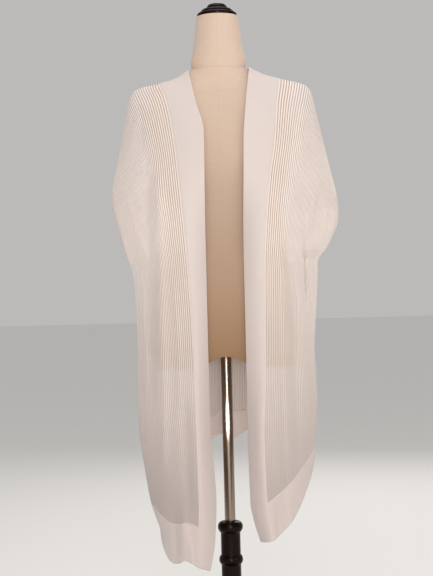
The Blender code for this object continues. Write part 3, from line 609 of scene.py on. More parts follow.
def back_half(side):
    """Half of the back from the centre line to the side, under the neck band."""
    shape = OUTLINES[side]
    corner = shape.shoulder_from(BAND_SEAM[side][0][1])
    x = np.linspace(0, corner[0, 0], 24)
    z = BACK_BAND_CENTRE + (corner[0, 1] - BACK_BAND_CENTRE) * (x / corner[0, 0]) ** BACK_BAND_CURVE
    top = np.vstack([np.stack([x, z], -1)[:-1], corner])
    hem_z = BACK_HEM[side][0][1]

    def centre(v):
        z = BACK_BAND_CENTRE + (hem_z - BACK_BAND_CENTRE) * v
        return np.stack([np.zeros_like(z), z], -1)

    hem = curve_through(BACK_HEM[side])
    rows = blended_rows(centre, shape.outer, top, hem, PANEL_TOP_POWER["back"])
    return lifted("back", side, rows)


def back_sheet():
    """The whole back, columns from the wearer's right to left."""
    grid = evened(np.concatenate([back_half("right")[:, ::-1], back_half("left")[:, 1:]], 1))
    sheet = Sheet(grid, (0, 1, 0))
    sheet.flatten(slice(first_row_under_arm(), None), (0, -1))
    sheet.flatten(0, np.abs(grid[0, :, 1]) < 1e-4)
    return sheet


def neck_sheet():
    """The plain band behind the neck, from the neckline down, columns from the wearer's right to left."""
    s = np.linspace(0, 1, DENSE_ROWS)[:, None]
    q = np.linspace(-1, 1, 2 * DENSE_COLUMNS - 1)[None, :]
    points = np.zeros((DENSE_ROWS, q.shape[1], 3))
    neck_z = 0.5 * (SHOULDER["right"][0][1] + SHOULDER["left"][0][1])
    for side, half in (("right", q <= 0), ("left", q > 0)):
        ridge = OUTLINES[side].shoulder
        inner_x, outer_x = SHOULDER[side][0][0], BAND_SEAM[side][0][1]
        across = np.abs(q[half])[None, :]
        x_line = inner_x + (outer_x - inner_x) * s
        z_line = np.interp(x_line, ridge[:, 0], ridge[:, 1])
        centre_z = neck_z + (BACK_BAND_CENTRE - neck_z) * s
        z = centre_z + (z_line - centre_z) * across**BACK_BAND_CURVE
        points[:, half[0]] = lifted("back", side, np.stack([x_line * across, z], -1))
    sheet = Sheet(points, (0, 1, 0))
    sheet.flatten(slice(None), (0, -1))
    return sheet


FRONTS = {side: front_sheet(side) for side in SIDES}
BANDS = {side: band_sheet(side, FRONTS[side]) for side in SIDES}
BACK = back_sheet()
NECK = neck_sheet()


def cuff_share(sheet, rows):
    """Width of the cuff as a share of its sheet's width: even, then narrow at the underarm."""
    end = underarm_row()
    near_end = fade((end - rows) / end * 4)
    return (CUFF_END_WIDTH + (CUFF_WIDTH - CUFF_END_WIDTH) * near_end) / sheet.width_at(rows)


def outer_border(sheet, rows):
    """Share of a sheet's width left beyond a panel: the cuff, and nothing below the underarm."""
    return np.where(rows <= underarm_row() + 1e-9, cuff_share(sheet, rows), 0.0)


class Link:
    """A shader socket that takes part in Python arithmetic."""

    def __init__(self, finish, socket):
        self.finish = finish
        self.socket = socket

    def math(self, operation, *others, clamp=False):
        values = dict(enumerate((self,) + others))
        return self.finish.node("ShaderNodeMath", {"operation": operation, "use_clamp": clamp}, values)

    def __add__(self, other):
        return self.math("ADD", other)

    __radd__ = __add__

    def __sub__(self, other):
        return self.math("SUBTRACT", other)

    def __rsub__(self, other):
        return self.math("MULTIPLY_ADD", -1.0, other)

    def __mul__(self, other):
        return self.math("MULTIPLY", other)

    __rmul__ = __mul__

    def __truediv__(self, other):
        return self.math("DIVIDE", other)

    def __abs__(self):
        return self.math("ABSOLUTE")

    def clamped(self):
        """The value kept between 0 and 1."""
        return self.math("MULTIPLY", 1.0, clamp=True)

    def off_centre(self, pitch=1.0):
        """Distance from the nearest multiple of the pitch, in pitches: 0 on it and 0.5 midway."""
        turn = (self / pitch + 0.5).math("FRACT")
        return abs(turn - 0.5)

    def under(self, limit, softness):
        """1 where the value is below a limit, falling softly to 0 above it."""
        return ((limit - self) / softness + 0.5).clamped()


class Finish:
    """A procedural material built on its Principled shader."""

    def __init__(self, name, roughness, **fixed):
        self.material = bpy.data.materials.new(name)
        self.material.use_nodes = True
        self.tree = self.material.node_tree
        self.shader = self.tree.nodes["Principled BSDF"]
        self.shader.inputs["Roughness"].default_value = roughness
        for socket, value in fixed.items():
            self.shader.inputs[socket.replace("_", " ")].default_value = value

    def put(self, socket, value):
        """Links a value to a socket, or sets it."""
        if isinstance(value, Link):
            self.tree.links.new(value.socket, socket)
        else:
            socket.default_value = value

    def node(self, kind, settings=None, values=None, output=0):
        """Adds one node: its settings first, then the values or links of its sockets."""
        made = self.tree.nodes.new(kind)
        for key, value in (settings or {}).items():
            setattr(made, key, value)
        for key, value in (values or {}).items():
            self.put(made.inputs[key], value)
        return Link(self, made.outputs[output])

    def set(self, **links):
        """Sets or links sockets of the Principled shader."""
        for socket, value in links.items():
            self.put(self.shader.inputs[socket.replace("_", " ")], value)

    def place(self, output):
        """Where a point lies: on the piece, or on the cloth's map."""
        return self.node("ShaderNodeTexCoord", output=output)

    def axes(self, output="Object"):
        """The three parts of a place."""
        split = self.tree.nodes.new("ShaderNodeSeparateXYZ")
        self.tree.links.new(self.place(output).socket, split.inputs[0])
        return [Link(self, part) for part in split.outputs]

    def cloth_place(self):
        """Distances across and down the cloth, from its map."""
        return self.axes("UV")[:2]

    def noise(self, scale, detail=3.0, stretch=(1, 1, 1)):
        """Soft noise over the piece, finer along an axis with a larger stretch."""
        vector = self.node("ShaderNodeMapping", values={"Vector": self.place("Object"), "Scale": stretch})
        return self.node(
            "ShaderNodeTexNoise",
            values={"Vector": vector, "Scale": scale, "Detail": detail, "Roughness": NOISE_ROUGHNESS},
        )

    def mix(self, factor, a, b, blend="MIX"):
        """Mixes two colours."""
        return self.node(
            "ShaderNodeMix",
            {"data_type": "RGBA", "blend_type": blend},
            {0: factor, 6: colour(a), 7: colour(b)},
            output=2,
        )

    def bump(self, height, distance, strength):
        """A normal that follows a fine relief."""
        values = {"Height": height, "Distance": distance, "Strength": strength}
        return self.node("ShaderNodeBump", values=values)


def colour(value):
    """A link as it is, or a colour with its opacity."""
    return value if isinstance(value, Link) else (*tuple(value)[:3], 1.0)


def toward_hem(cloth):
    """0 at the chest, rising to 1 at the hem, where the knit hangs in shade."""
    z = cloth.axes()[2]
    return ((CHEST_SHADE_Z - z) / SHADE_DROP).clamped()


def painted_linen_glow(cloth):
    """1 where the form stands close behind the openwork and its lit linen is painted onto the knit as a glow,
    0 elsewhere.
    """
    x, _, z = cloth.axes()
    waist = (z - GLOW_WAIST_Z) / GLOW_WAIST_REACH
    half_width = GLOW_HALF_WIDTH - (waist * waist * -1.0).math("EXPONENT") * GLOW_WAIST_INSET
    beside = ((half_width - abs(x)) / GLOW_EDGE + 0.5).clamped()
    return beside * ((z - GLOW_LOW_Z) / GLOW_LOW_EDGE).clamped()


def ribbed_knit(knit):
    """Openwork rib: raised wales of plaited stitches, and a ladder of small holes between them."""
    cloth = Finish("openwork_knit", 0.86, Sheen_Weight=0.25, Sheen_Roughness=0.6, Specular_IOR_Level=0.25)
    across, down = cloth.cloth_place()
    off_gap = across.off_centre()
    course = down.off_centre(knit.course_pitch)
    yarn = cloth.noise(900.0, 2.0)
    patches = cloth.noise(7.0, 4.0)
    low = toward_hem(cloth)
    hole = off_gap.under(knit.hole_width / 2, 0.06) * (0.5 - course).under(knit.hole_height / 2, 0.06)
    plait = abs(off_gap - 0.34) * 3.0 + (down / knit.course_pitch + off_gap * 1.4).off_centre() * 0.9
    shade = (off_gap * 2.1 + (patches - 0.5) * 0.5 + (yarn - 0.5) * 0.3).clamped()
    shade = shade + (1.0 - shade) * low * 0.55
    # Painted shade: the ladder between the ribs takes a darker colour, standing in for the shade in the
    # recess between them.
    tint = cloth.mix(shade, knit.ladder_shade_colour, knit.mesh_colour)
    # Painted light: the tan of the lit form behind is painted over the ribs, as a glow through the openwork.
    glow_mask = painted_linen_glow(cloth) * (1.0 - off_gap * 2.0)
    tint = cloth.mix(glow_mask * 0.6, tint, knit.lit_linen_glow_colour)
    # Painted shade: the openwork is darkened toward the hem, where it hangs in shade.
    cloth.set(
        Base_Color=cloth.mix(low, tint, knit.openwork_hem_shade, "MULTIPLY"),
        Alpha=1.0 - hole * (1.0 - low * 0.9),
        Roughness=yarn * 0.12 + 0.8,
        Normal=cloth.bump(1.0 - plait * 0.6 + yarn * 0.3, 0.0006, 0.7),
    )
    return cloth.material


def plain_knit(knit):
    """Plain jersey: rows of small interlocked stitches, with slightly uneven courses."""
    cloth = Finish("plain_knit", 0.84, Sheen_Weight=0.3, Sheen_Roughness=0.55, Specular_IOR_Level=0.25)
    across, down = cloth.cloth_place()
    wale = across.off_centre(knit.stitch_width)
    stitch = (down / knit.stitch_height + wale * 1.1).off_centre()
    yarn = cloth.noise(1100.0, 2.0)
    patches = cloth.noise(9.0, 4.0)
    rows = cloth.noise(60.0, 2.0, stretch=(0.25, 0.25, 3.0))
    height = wale * 1.2 + (0.5 - stitch) * 0.9 + yarn * 0.25 + rows * 0.3
    shade = (patches * 0.5 + rows * 0.25 + wale * 0.4 + yarn * 0.15).clamped()
    tint = cloth.mix(shade, knit.plain_shadow_colour, knit.plain_colour)
    # Painted shade: the bands are darkened toward the hem, where they hang in shade.
    cloth.set(
        Base_Color=cloth.mix(toward_hem(cloth), tint, knit.band_hem_shade, "MULTIPLY"),
        Roughness=yarn * 0.12 + 0.78,
        Normal=cloth.bump(height, 0.0005, 0.6),
    )
    return cloth.material


def seam_yarn(knit):
    """The linked chain of a seam."""
    cloth = Finish("seam_yarn", 0.82, Sheen_Weight=0.3, Sheen_Roughness=0.55, Specular_IOR_Level=0.25)
    twist = cloth.noise(700.0, 3.0)
    cloth.set(
        Base_Color=cloth.mix(twist, knit.plain_shadow_colour, knit.plain_colour),
        Roughness=twist * 0.15 + 0.75,
        Normal=cloth.bump(twist, 0.0006, 0.8),
    )
    return cloth.material


def grid_faces(rows, columns, start=0, flip=False):
    """Four-cornered faces of a grid of points."""
    index = start + np.arange(rows * columns).reshape(rows, columns)
    corners = [index[:-1, :-1], index[1:, :-1], index[1:, 1:], index[:-1, 1:]]
    return np.stack(corners[::-1] if flip else corners, -1).reshape(-1, 4)


def mesh_piece(name, points, faces, uv, material, nodes):
    """A mesh object with its cloth map, riding on the part and standing for its CAD nodes."""
    mesh = bpy.data.meshes.new(name)
    mesh.from_pydata(points.tolist(), [], faces.tolist())
    layer = mesh.uv_layers.new(name="cloth")
    corners = np.zeros(len(mesh.loops), np.int32)
    mesh.loops.foreach_get("vertex_index", corners)
    layer.data.foreach_set("uv", uv[corners].astype(np.float32).ravel())
    mesh.shade_smooth()
    mesh.materials.append(material)
    return adopt(bpy.data.objects.new(name, mesh), nodes)


def adopt(made, nodes=()):
    """Puts a piece in the scene, on the part's body and the nodes it stands for."""
    bpy.context.scene.collection.objects.link(made)
    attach(made, BODY)
    if nodes:
        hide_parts(*nodes)
    return made


def lengths_down(points):
    """Mean distance of each row from the first, along the cloth."""
    steps = np.linalg.norm(np.diff(points, axis=0), axis=-1).mean(1)
    return np.concatenate([[0], np.cumsum(steps)])


def lengths_across(points):
    """Mean distance of each column from the first, along the cloth."""
    steps = np.linalg.norm(np.diff(points, axis=1), axis=-1).mean(0)
    return np.concatenate([[0], np.cumsum(steps)])


def rows_between(low, high, sheet):
    """Rows of a piece, evenly apart along its middle."""
    middle = sheet.grid[:, sheet.grid.shape[1] // 2]
    down = float(np.linalg.norm(np.diff(middle, axis=0), axis=-1).sum())
    count = max(2, round((high - low) * down / ROW_SPACING))
    return np.linspace(low, high, count + 1)


def kept_on_its_side(points, way):
    """Stops a piece from crossing the plane of the shoulder and side seams."""
    points[..., 1] = way * np.maximum(way * points[..., 1], 0.0)
    return points


def ribbed_piece(piece, knit, material):
    """One layer of rib knit: every wale stands up from the ladder beside it."""
    rows = piece.rows
    low, high = piece.low(rows), piece.high(rows)
    width = float(np.mean((high - low) * piece.sheet.width_at(rows)))
    wales = round(width / knit.wale_pitch)
    share = np.linspace(0, 1, wales * COLUMNS_PER_WALE + 1)
    u = low[:, None] + (high - low)[:, None] * share[None]
    inside, normal = piece.sheet.at(rows[:, None], u)
    relief = knit.rib_height * (0.5 - 0.5 * np.cos(2 * math.pi * share * wales))
    points = kept_on_its_side(inside + normal * (knit.mesh_wall / 2 + relief)[None, :, None], piece.way)
    down = lengths_down(points)
    uv = np.stack(np.broadcast_arrays((share * wales)[None, :], down[:, None]), -1)
    made = mesh_piece(
        piece.name, points.reshape(-1, 3), grid_faces(*points.shape[:2]), uv.reshape(-1, 2),
        material, piece.nodes,
    )
    declare_cloth(inside)
    return made


def eased(count, ease=0.82):
    """Shares from 0 to 1 that crowd towards both ends, where an edge turns over."""
    t = np.linspace(0, 1, count + 1)
    return t - ease * np.sin(2 * math.pi * t) / (2 * math.pi)


def plain_piece(piece, knit, material, spacing=BAND_SPACING, roll=0.0):
    """A plain band: two faces that meet in round edges, with its free edge rolled where roll is above 0."""
    length = lengths_down(piece.sheet.grid)[-1] * (piece.rows[-1] - piece.rows[0])
    rows = piece.rows[0] + (piece.rows[-1] - piece.rows[0]) * eased(max(6, round(length / spacing)), 0.5)
    low, high = piece.low(rows), piece.high(rows)
    width = float(np.mean((high - low) * piece.sheet.width_at(rows)))
    share = eased(max(6, round(width / spacing)))
    u = low[:, None] + (high - low)[:, None] * share[None]
    inside, normal = piece.sheet.at(rows[:, None], u)
    down, across = lengths_down(inside), lengths_across(inside)
    edge = knit.plain_wall / 2
    from_side = np.minimum(across, across[-1] - across)[None, :]
    from_end = np.minimum(down, down[-1] - down)[:, None]
    inset = np.minimum(np.minimum(from_side, from_end) / edge, 1.0)
    half = edge * np.sqrt(np.clip(1 - (1 - inset) ** 2, 0.02, 1.0))
    half = half * (1 + roll * np.exp(-(((across[None, :] - ROLL_PLACE) / ROLL_WIDTH) ** 2)))
    middle = inside + normal * edge
    faces_of = [kept_on_its_side(middle + sign * normal * half[..., None], piece.way) for sign in (1, -1)]
    r, c = half.shape
    points = np.concatenate([grid.reshape(-1, 3) for grid in faces_of])
    faces = np.concatenate([grid_faces(r, c), grid_faces(r, c, r * c, flip=True), rim_faces(r, c)])
    one = np.stack(np.broadcast_arrays(across[None, :], down[:, None]), -1).reshape(-1, 2)
    uv = np.concatenate([one, one])
    made = mesh_piece(piece.name, points, faces, uv, material, piece.nodes)
    declare_cloth(inside)
    return made


def rim_faces(rows, columns):
    """Faces that join the borders of a piece's two faces."""
    index = np.arange(rows * columns).reshape(rows, columns)
    ring = np.concatenate([index[:-1, 0], index[-1, :-1], index[:0:-1, -1], index[0, :0:-1]])
    following = np.roll(ring, -1)
    under = rows * columns
    return np.stack([following, ring, ring + under, following + under], -1)


def declare_cloth(smooth_grid):
    """Works out a piece's cut (its widest row, its mean length and the area of its unwrinkled surface) but
    stores and returns nothing.
    """
    down, across = np.diff(smooth_grid, axis=0)[:, :-1], np.diff(smooth_grid, axis=1)[:-1]
    area = float(np.linalg.norm(np.cross(down, across), axis=-1).sum())
    width = float(np.linalg.norm(np.diff(smooth_grid, axis=1), axis=-1).sum(1).max())
    long = max(float(lengths_down(smooth_grid)[-1]), EASE_OF_CUT * area / width)


# Borders of a piece as shares of its sheet's width: none of it, and all of it.
zeros, ones = np.zeros_like, np.ones_like


def piece_of(name, sheet, way, row_range, low, high, node):
    """A piece between two borders of its sheet, with more rows where a front panel folds under the arm."""
    rows = rows_between(*row_range, sheet)
    if way < 0 and row_range[0] < underarm_row() < row_range[1] < 1:
        rows = np.unique(np.concatenate([rows, underarm_row() + np.linspace(*UNDERARM_ROWS)]))
    return Piece(name, sheet, way, rows, low, high, (node,))


def panel_pieces():
    """The three openwork panels."""
    made = [
        piece_of(
            f"{side}_front_knit", FRONTS[side], -1, (0.0, HEM_BAND_START), zeros,
            lambda rows, sheet=FRONTS[side]: 1 - outer_border(sheet, rows), f"front_{side}",
        )
        for side in SIDES
    ]
    return made + [
        piece_of(
            "back_knit", BACK, 1, (0.0, HEM_BAND_START), lambda rows: outer_border(BACK, rows),
            lambda rows: 1 - outer_border(BACK, rows), "back",
        )
    ]


def hem_pieces():
    """The plain bands under the three panels."""
    reach = (HEM_BAND_START, 1.0)
    made = [
        piece_of(f"{side}_hem_band", FRONTS[side], -1, reach, zeros, ones, f"hem_front_{side}")
        for side in SIDES
    ]
    return made + [piece_of("back_hem_band", BACK, 1, reach, zeros, ones, "hem_back")]


def cuff_pieces():
    """The narrow edges of the sleeves, front and back."""
    end = underarm_row()
    made = [
        piece_of(
            f"{side}_front_cuff", FRONTS[side], -1, (0.0, end),
            lambda rows, sheet=FRONTS[side]: 1 - cuff_share(sheet, rows), ones, f"cuff_front_{side}",
        )
        for side in SIDES
    ]
    borders = {"right": (zeros, lambda rows: cuff_share(BACK, rows)),
               "left": (lambda rows: 1 - cuff_share(BACK, rows), ones)}
    return made + [
        piece_of(f"{side}_back_cuff", BACK, 1, (0.0, end), *borders[side], f"cuff_back_{side}")
        for side in SIDES
    ]


def band_pieces():
    """The plain bands down the fronts."""
    return [
        piece_of(f"{side}_front_band", BANDS[side], -1, (0.0, 1.0), zeros, ones, f"band_front_{side}")
        for side in SIDES
    ]


def seams():
    """Every seam: its name and sheet, its course down and across, its share of a full thickness, its lift."""
    sleeve = np.linspace(0.0, underarm_row(), 60)
    under_arm = np.linspace(underarm_row(), 1.0, 200)
    across = np.linspace(0.0, 1.0, 160)
    made = []
    for side in SIDES:
        front = FRONTS[side]
        cuff = 1 - cuff_share(front, sleeve)
        made += [
            (f"{side}_band_seam", front, np.linspace(0.0, 1.0, 260), 0.0, 1.0, SEAM_LIFT_ON_PANEL),
            (f"{side}_front_hem_seam", front, HEM_BAND_START, across, BAND_SEAM_SHARE, SEAM_LIFT_ON_BAND),
            (f"{side}_shoulder_seam", front, 0.0, across, 1.0, SEAM_LIFT_ON_EDGE),
            (f"{side}_side_seam", front, under_arm, 1.0, 1.0, SEAM_LIFT_ON_EDGE),
            (f"{side}_front_cuff_seam", front, sleeve, cuff, CUFF_SEAM_SHARE, SEAM_LIFT_ON_BAND),
        ]
    right_cuff = cuff_share(BACK, sleeve)
    return made + [
        ("back_hem_seam", BACK, HEM_BAND_START, np.linspace(0, 1, 300), BAND_SEAM_SHARE, SEAM_LIFT_ON_BAND),
        ("back_neck_seam", NECK, 1.0, across, BAND_SEAM_SHARE, SEAM_LIFT_ON_PANEL),
        ("right_back_cuff_seam", BACK, sleeve, right_cuff, CUFF_SEAM_SHARE, SEAM_LIFT_ON_BAND),
        ("left_back_cuff_seam", BACK, sleeve, 1 - right_cuff, CUFF_SEAM_SHARE, SEAM_LIFT_ON_BAND),
    ]


def seam_line(name, sheet, q, u, radius, lift, material):
    """A thin linked seam that follows a sheet."""
    q, u = np.broadcast_arrays(np.asarray(q, float), np.asarray(u, float))
    inside, normal = sheet.at(q, u)
    points = inside + normal * lift
    curve = bpy.data.curves.new(name, "CURVE")
    curve.dimensions = "3D"
    curve.bevel_depth = radius
    curve.bevel_resolution = 1
    curve.use_fill_caps = True
    line = curve.splines.new("POLY")
    line.points.add(len(points) - 1)
    line.points.foreach_set("co", np.concatenate([points, np.ones((len(points), 1))], 1).ravel())
    line.use_smooth = True
    curve.materials.append(material)
    return adopt(bpy.data.objects.new(name, curve))


def form_sections():
    """Sections of the dress form, upward: height, half width, front depth, back depth."""
    ridge = OUTLINES["right"].shoulder
    shoulder = []
    for z in FORM_SHOULDER_Z:
        on_ridge = np.interp(-(z + REST_GAP), -ridge[:, 1], ridge[:, 0])
        front, back = smooth(z, FORM_SHOULDER_DEPTH, 1), smooth(z, FORM_SHOULDER_DEPTH, 2)
        shoulder.append((z, float(on_ridge), float(front), float(back)))
    return list(FORM_SECTIONS) + shoulder + list(FORM_NECK)


def form_surface(around=144, per_section=4):
    """Points of the form's cover, ring by ring, upward."""
    sections = np.array(form_sections())
    count = len(sections)
    power = np.array([2 / FORM_ROUNDING if k < len(FORM_SECTIONS) else 1.0 for k in range(count)])
    t = np.arange(count)
    fine = np.linspace(0, count - 1, (count - 1) * per_section + 1)
    z, half, front, back = (smooth(fine, list(zip(t, sections[:, k]))) for k in range(4))
    power = np.interp(fine, t, power)[:, None]
    angle = np.linspace(0, 2 * math.pi, around, endpoint=False)[None]
    x = half[:, None] * np.sign(np.cos(angle)) * np.abs(np.cos(angle)) ** power
    depth = np.where(np.sin(angle) > 0, back[:, None], front[:, None])
    y = depth * np.sign(np.sin(angle)) * np.abs(np.sin(angle)) ** power
    low = np.clip((FORM_SECTIONS[1][0] - z) / (FORM_SECTIONS[1][0] - FORM_SECTIONS[0][0]), 0, 1)[:, None]
    arch = FORM_ARCH * np.exp(-((x / FORM_ARCH_WIDTH) ** 2)) * low**2
    rings = np.stack([x, y, z[:, None] + arch], -1)
    turn = angle[0]
    floor = np.full(around, POLE_TOP + SEAM_GAP)
    socket = np.stack([FORM_SOCKET_RADIUS * np.cos(turn), FORM_SOCKET_RADIUS * np.sin(turn), floor], -1)
    return np.concatenate([socket[None], rings])


def linen_cover(form):
    """Fine linen stretched over the form, with its sewn seams."""
    linen = Finish("form_linen", 0.8, Sheen_Weight=0.15, Specular_IOR_Level=0.3)
    x, y, z = linen.axes()
    warp = (x * 0.8 + y * 0.6).off_centre(THREAD_PITCH)
    weft = z.off_centre(THREAD_PITCH)
    slub = linen.noise(90.0, 3.0, stretch=(0.3, 0.3, 2.0))
    patches = linen.noise(5.0, 4.0)
    centre_seam = abs(x - CENTRE_SEAM_X).under(0.0007, 0.0006) * 0.6
    neck_seam = abs(z - NECK_SEAM_Z).under(0.0011, 0.0006)
    seam = centre_seam.math("MAXIMUM", neck_seam)
    height = (warp + weft) * 0.5 + slub * 0.4 - seam * 0.3
    # Painted shade: the cover darkens from the chest down to its foot, as the light falls off.
    low = ((LINEN_SHADE_Z - z) / LINEN_SHADE_DROP).clamped()
    base = linen.mix(low, form.linen_colour, form.linen_shade_colour)
    shade = (patches * 0.5 + slub * 0.3 - 0.2).clamped()
    worn = linen.mix(shade * 0.45, base, (0.30, 0.20, 0.13))
    linen.set(
        Base_Color=linen.mix(seam * 0.12, worn, (0.22, 0.14, 0.09)),
        Roughness=slub * 0.15 + 0.72,
        Normal=linen.bump(height, 0.0005, 0.55),
    )
    return linen.material


def dark_wood(stand):
    """Stained, varnished hardwood."""
    wood = Finish("varnished_wood", 0.3, Coat_Roughness=0.1, Specular_IOR_Level=0.06)
    grain = wood.noise(40.0, 5.0, stretch=(1.0, 1.0, 0.12))
    pores = wood.noise(420.0, 2.0, stretch=(1.0, 1.0, 0.08))
    worn = (wood.noise(16.0, 3.0) - 0.52) * 3.0
    stain = wood.mix(grain, stand.wood_colour, stand.wood_grain_colour)
    wood.set(
        Base_Color=wood.mix(worn.clamped() * 0.25, stain, (0.04, 0.016, 0.010)),
        Roughness=pores * 0.15 + 0.2,
        Coat_Weight=0.14 - pores * 0.06,
        Normal=wood.bump(grain * 0.5 + pores * 0.5, 0.0003, 0.35),
    )
    return wood.material


def pole_steel(stand):
    """Drawn steel tube with long faint streaks."""
    steel = Finish("pole_steel", 0.25, Metallic=1.0)
    streaks = steel.noise(120.0, 3.0, stretch=(1.0, 1.0, 0.02))
    smudges = steel.noise(22.0, 4.0)
    steel.set(
        Base_Color=steel.mix(streaks, stand.steel_dark_colour, stand.steel_colour),
        Roughness=smudges * 0.2 + streaks * 0.12 + 0.1,
        Normal=steel.bump(streaks, 0.0002, 0.25),
    )
    return steel.material


def turned(name, profile, material, nodes, around=96):
    """A turned piece from a profile of radius and height, closed on its axis."""
    mesh = bpy.data.meshes.new(name)
    mesh.from_pydata([(radius, 0.0, height) for radius, height in profile], [], [])
    mesh.edges.add(len(profile) - 1)
    for k, edge in enumerate(mesh.edges):
        edge.vertices = (k, k + 1)
    mesh.materials.append(material)
    made = bpy.data.objects.new(name, mesh)
    screw = made.modifiers.new("turn", "SCREW")
    screw.steps = screw.render_steps = around
    screw.use_merge_vertices = True
    screw.merge_threshold = 0.00005
    screw.use_smooth_shade = True
    return adopt(made, nodes)


def softened(profile, per_corner=3, share=0.3):
    """Rounds each corner of a profile with a short curve."""
    points = [np.array(point) for point in profile]
    out = [points[0]]
    for before, corner, after in zip(points, points[1:], points[2:]):
        reach = share * min(np.linalg.norm(before - corner), np.linalg.norm(after - corner))
        start = corner + (before - corner) / np.linalg.norm(before - corner) * reach
        end = corner + (after - corner) / np.linalg.norm(after - corner) * reach
        for t in np.linspace(0, 1, per_corner + 1):
            out.append((1 - t) ** 2 * start + 2 * t * (1 - t) * corner + t * t * end)
    return out + [points[-1]]


def tone(name, description, default):
    """A colour that a user may change."""
    return bpy.props.FloatVectorProperty(
        name=name, description=description, default=default, subtype="COLOR", size=3, min=0.0, max=1.0
    )


def size(name, description, default):
    """A length that a user may change."""
    return bpy.props.FloatProperty(
        name=name, description=description, default=default, unit="LENGTH", min=0.0, precision=5
    )


def fraction(name, description, default):
    """A share that a user may change."""
    return bpy.props.FloatProperty(
        name=name, description=description, default=default, subtype="FACTOR", min=0.0, max=1.0
    )


def power(name, description, default):
    """A light's power that a user may change."""
    return bpy.props.FloatProperty(name=name, description=description, default=default, unit="POWER", min=0.0)


class CardiganKnit(bpy.types.PropertyGroup):
    """Sizes and colours of the knit."""

    wale_pitch: size("Wale pitch", "Distance between two raised ribs of the openwork", 0.0048)
    course_pitch: size("Course pitch", "Distance between two rungs of the ladder between ribs", 0.0030)
    rib_height: size("Rib height", "How far a rib stands out", 0.0011)
    mesh_wall: size("Openwork thickness", "Thickness of the openwork between ribs", 0.0013)
    plain_wall: size("Band thickness", "Thickness of the plain bands", 0.0022)
    stitch_width: size("Stitch width", "Width of a plain stitch", 0.0016)
    stitch_height: size("Stitch height", "Height of a plain stitch", 0.0012)
    seam_radius: size("Seam radius", "Half the thickness of a linked seam", 0.0009)
    hole_width: fraction("Hole width", "Width of a hole as a share of the wale pitch", 0.28)
    hole_height: fraction("Hole height", "Height of a hole as a share of the course pitch", 0.52)
    mesh_colour: tone("Openwork colour", "Colour of the ribs", (0.92, 0.84, 0.80))
    # Painted shade: the darker colour between the ribs stands in for the shade in the recess.
    ladder_shade_colour: tone("Ladder colour", "Colour between the ribs", (0.68, 0.57, 0.51))
    plain_colour: tone("Band colour", "Colour of the plain bands", (0.70, 0.625, 0.595))
    plain_shadow_colour: tone("Band shadow colour", "Colour between the plain stitches", (0.72, 0.63, 0.59))
    # Painted shade: these tints darken the bands and the openwork toward the hem.
    band_hem_shade: tone("Low tint", "Tint that the bands take on towards the hem", (0.89, 0.87, 0.87))
    openwork_hem_shade: tone("Low openwork tint", "Tint of the openwork towards the hem", (0.53, 0.51, 0.50))
    # Painted light: the form's lit linen, painted onto the openwork as a glow.
    lit_linen_glow_colour: tone("Tint over the form", "Linen that glows through the openwork", (0.70, 0.53, 0.41))


class CardiganForm(bpy.types.PropertyGroup):
    """Colours of the dress form."""

    linen_colour: tone("Linen colour", "Colour of the form's cover at the neck and chest", (0.72, 0.56, 0.45))
    # Painted shade: the cover's darker colour near its foot.
    linen_shade_colour: tone("Low linen colour", "Colour of the cover near its foot", (0.28, 0.155, 0.075))


class CardiganStand(bpy.types.PropertyGroup):
    """Colours of the stand."""

    wood_colour: tone("Wood colour", "Stain of the turned wood", (0.003, 0.001, 0.0007))
    wood_grain_colour: tone("Grain colour", "Lighter grain of the turned wood", (0.010, 0.0035, 0.002))
    steel_colour: tone("Steel colour", "Colour of the pole", (0.46, 0.37, 0.30))
    steel_dark_colour: tone("Streak colour", "Darker streaks of the pole", (0.14, 0.11, 0.09))


class CardiganStage(bpy.types.PropertyGroup):
    """Floor, light and camera."""

    floor_colour: tone("Floor colour", "Colour of the floor", (0.90, 0.89, 0.875))
    key_power: power("Key light", "Power of the main light", 14.0)
    fill_power: power("Fill light", "Power of the soft light from the side", 9.0)
    top_power: power("Top light", "Power of the soft light from above", 22.0)
    low_power: power("Low light", "Power of the soft light from low in front", 30.0)
    back_power: power("Back light", "Power of the soft light from behind", 22.0)
    inner_power: power("Inner light", "Power of the glow on the inside of the back", 0.22)
    sky_strength: bpy.props.FloatProperty(
        name="Surrounding light", description="Strength of the light all round", default=0.5, min=0.0
    )
    camera_distance: size("Camera distance", "Distance of the camera from the form's middle", 2.8)
    camera_height: size("Camera height", "Height of the camera above the floor", 0.85)
    focal_length: bpy.props.FloatProperty(
        name="Focal length", description="Focal length of the lens", default=79.5, unit="CAMERA", min=1.0
    )


class CARDIGAN_OT_panels(bpy.types.Operator):
    """Knit the two fronts and the back"""

    bl_idname = "cardigan.panels"
    bl_label = "Openwork panels"

    def execute(self, context):
        knit = context.scene.cardigan_knit
        material = ribbed_knit(knit)
        for piece in panel_pieces():
            ribbed_piece(piece, knit, material)
        return {"FINISHED"}


class CARDIGAN_OT_bands(bpy.types.Operator):
    """Knit the plain front bands, neck band, hem bands and cuffs"""

    bl_idname = "cardigan.bands"
    bl_label = "Plain bands"

    def execute(self, context):
        knit = context.scene.cardigan_knit
        material = plain_knit(knit)
        for piece in band_pieces():
            plain_piece(piece, knit, material, roll=FREE_EDGE_ROLL)
        neck = piece_of("neck_band", NECK, 1, (0.0, 1.0), zeros, ones, "band_back_neck")
        plain_piece(neck, knit, material)
        for piece in hem_pieces():
            plain_piece(piece, knit, material)
        for piece in cuff_pieces():
            plain_piece(piece, knit, material, spacing=CUFF_SPACING)
        return {"FINISHED"}


class CARDIGAN_OT_seams(bpy.types.Operator):
    """Link the pieces with thin seams"""

    bl_idname = "cardigan.seams"
    bl_label = "Seams"

    def execute(self, context):
        knit = context.scene.cardigan_knit
        yarn = seam_yarn(knit)
        for name, sheet, q, u, thickness, lift in seams():
            seam_line(name, sheet, q, u, knit.seam_radius * thickness, lift, yarn)
        return {"FINISHED"}


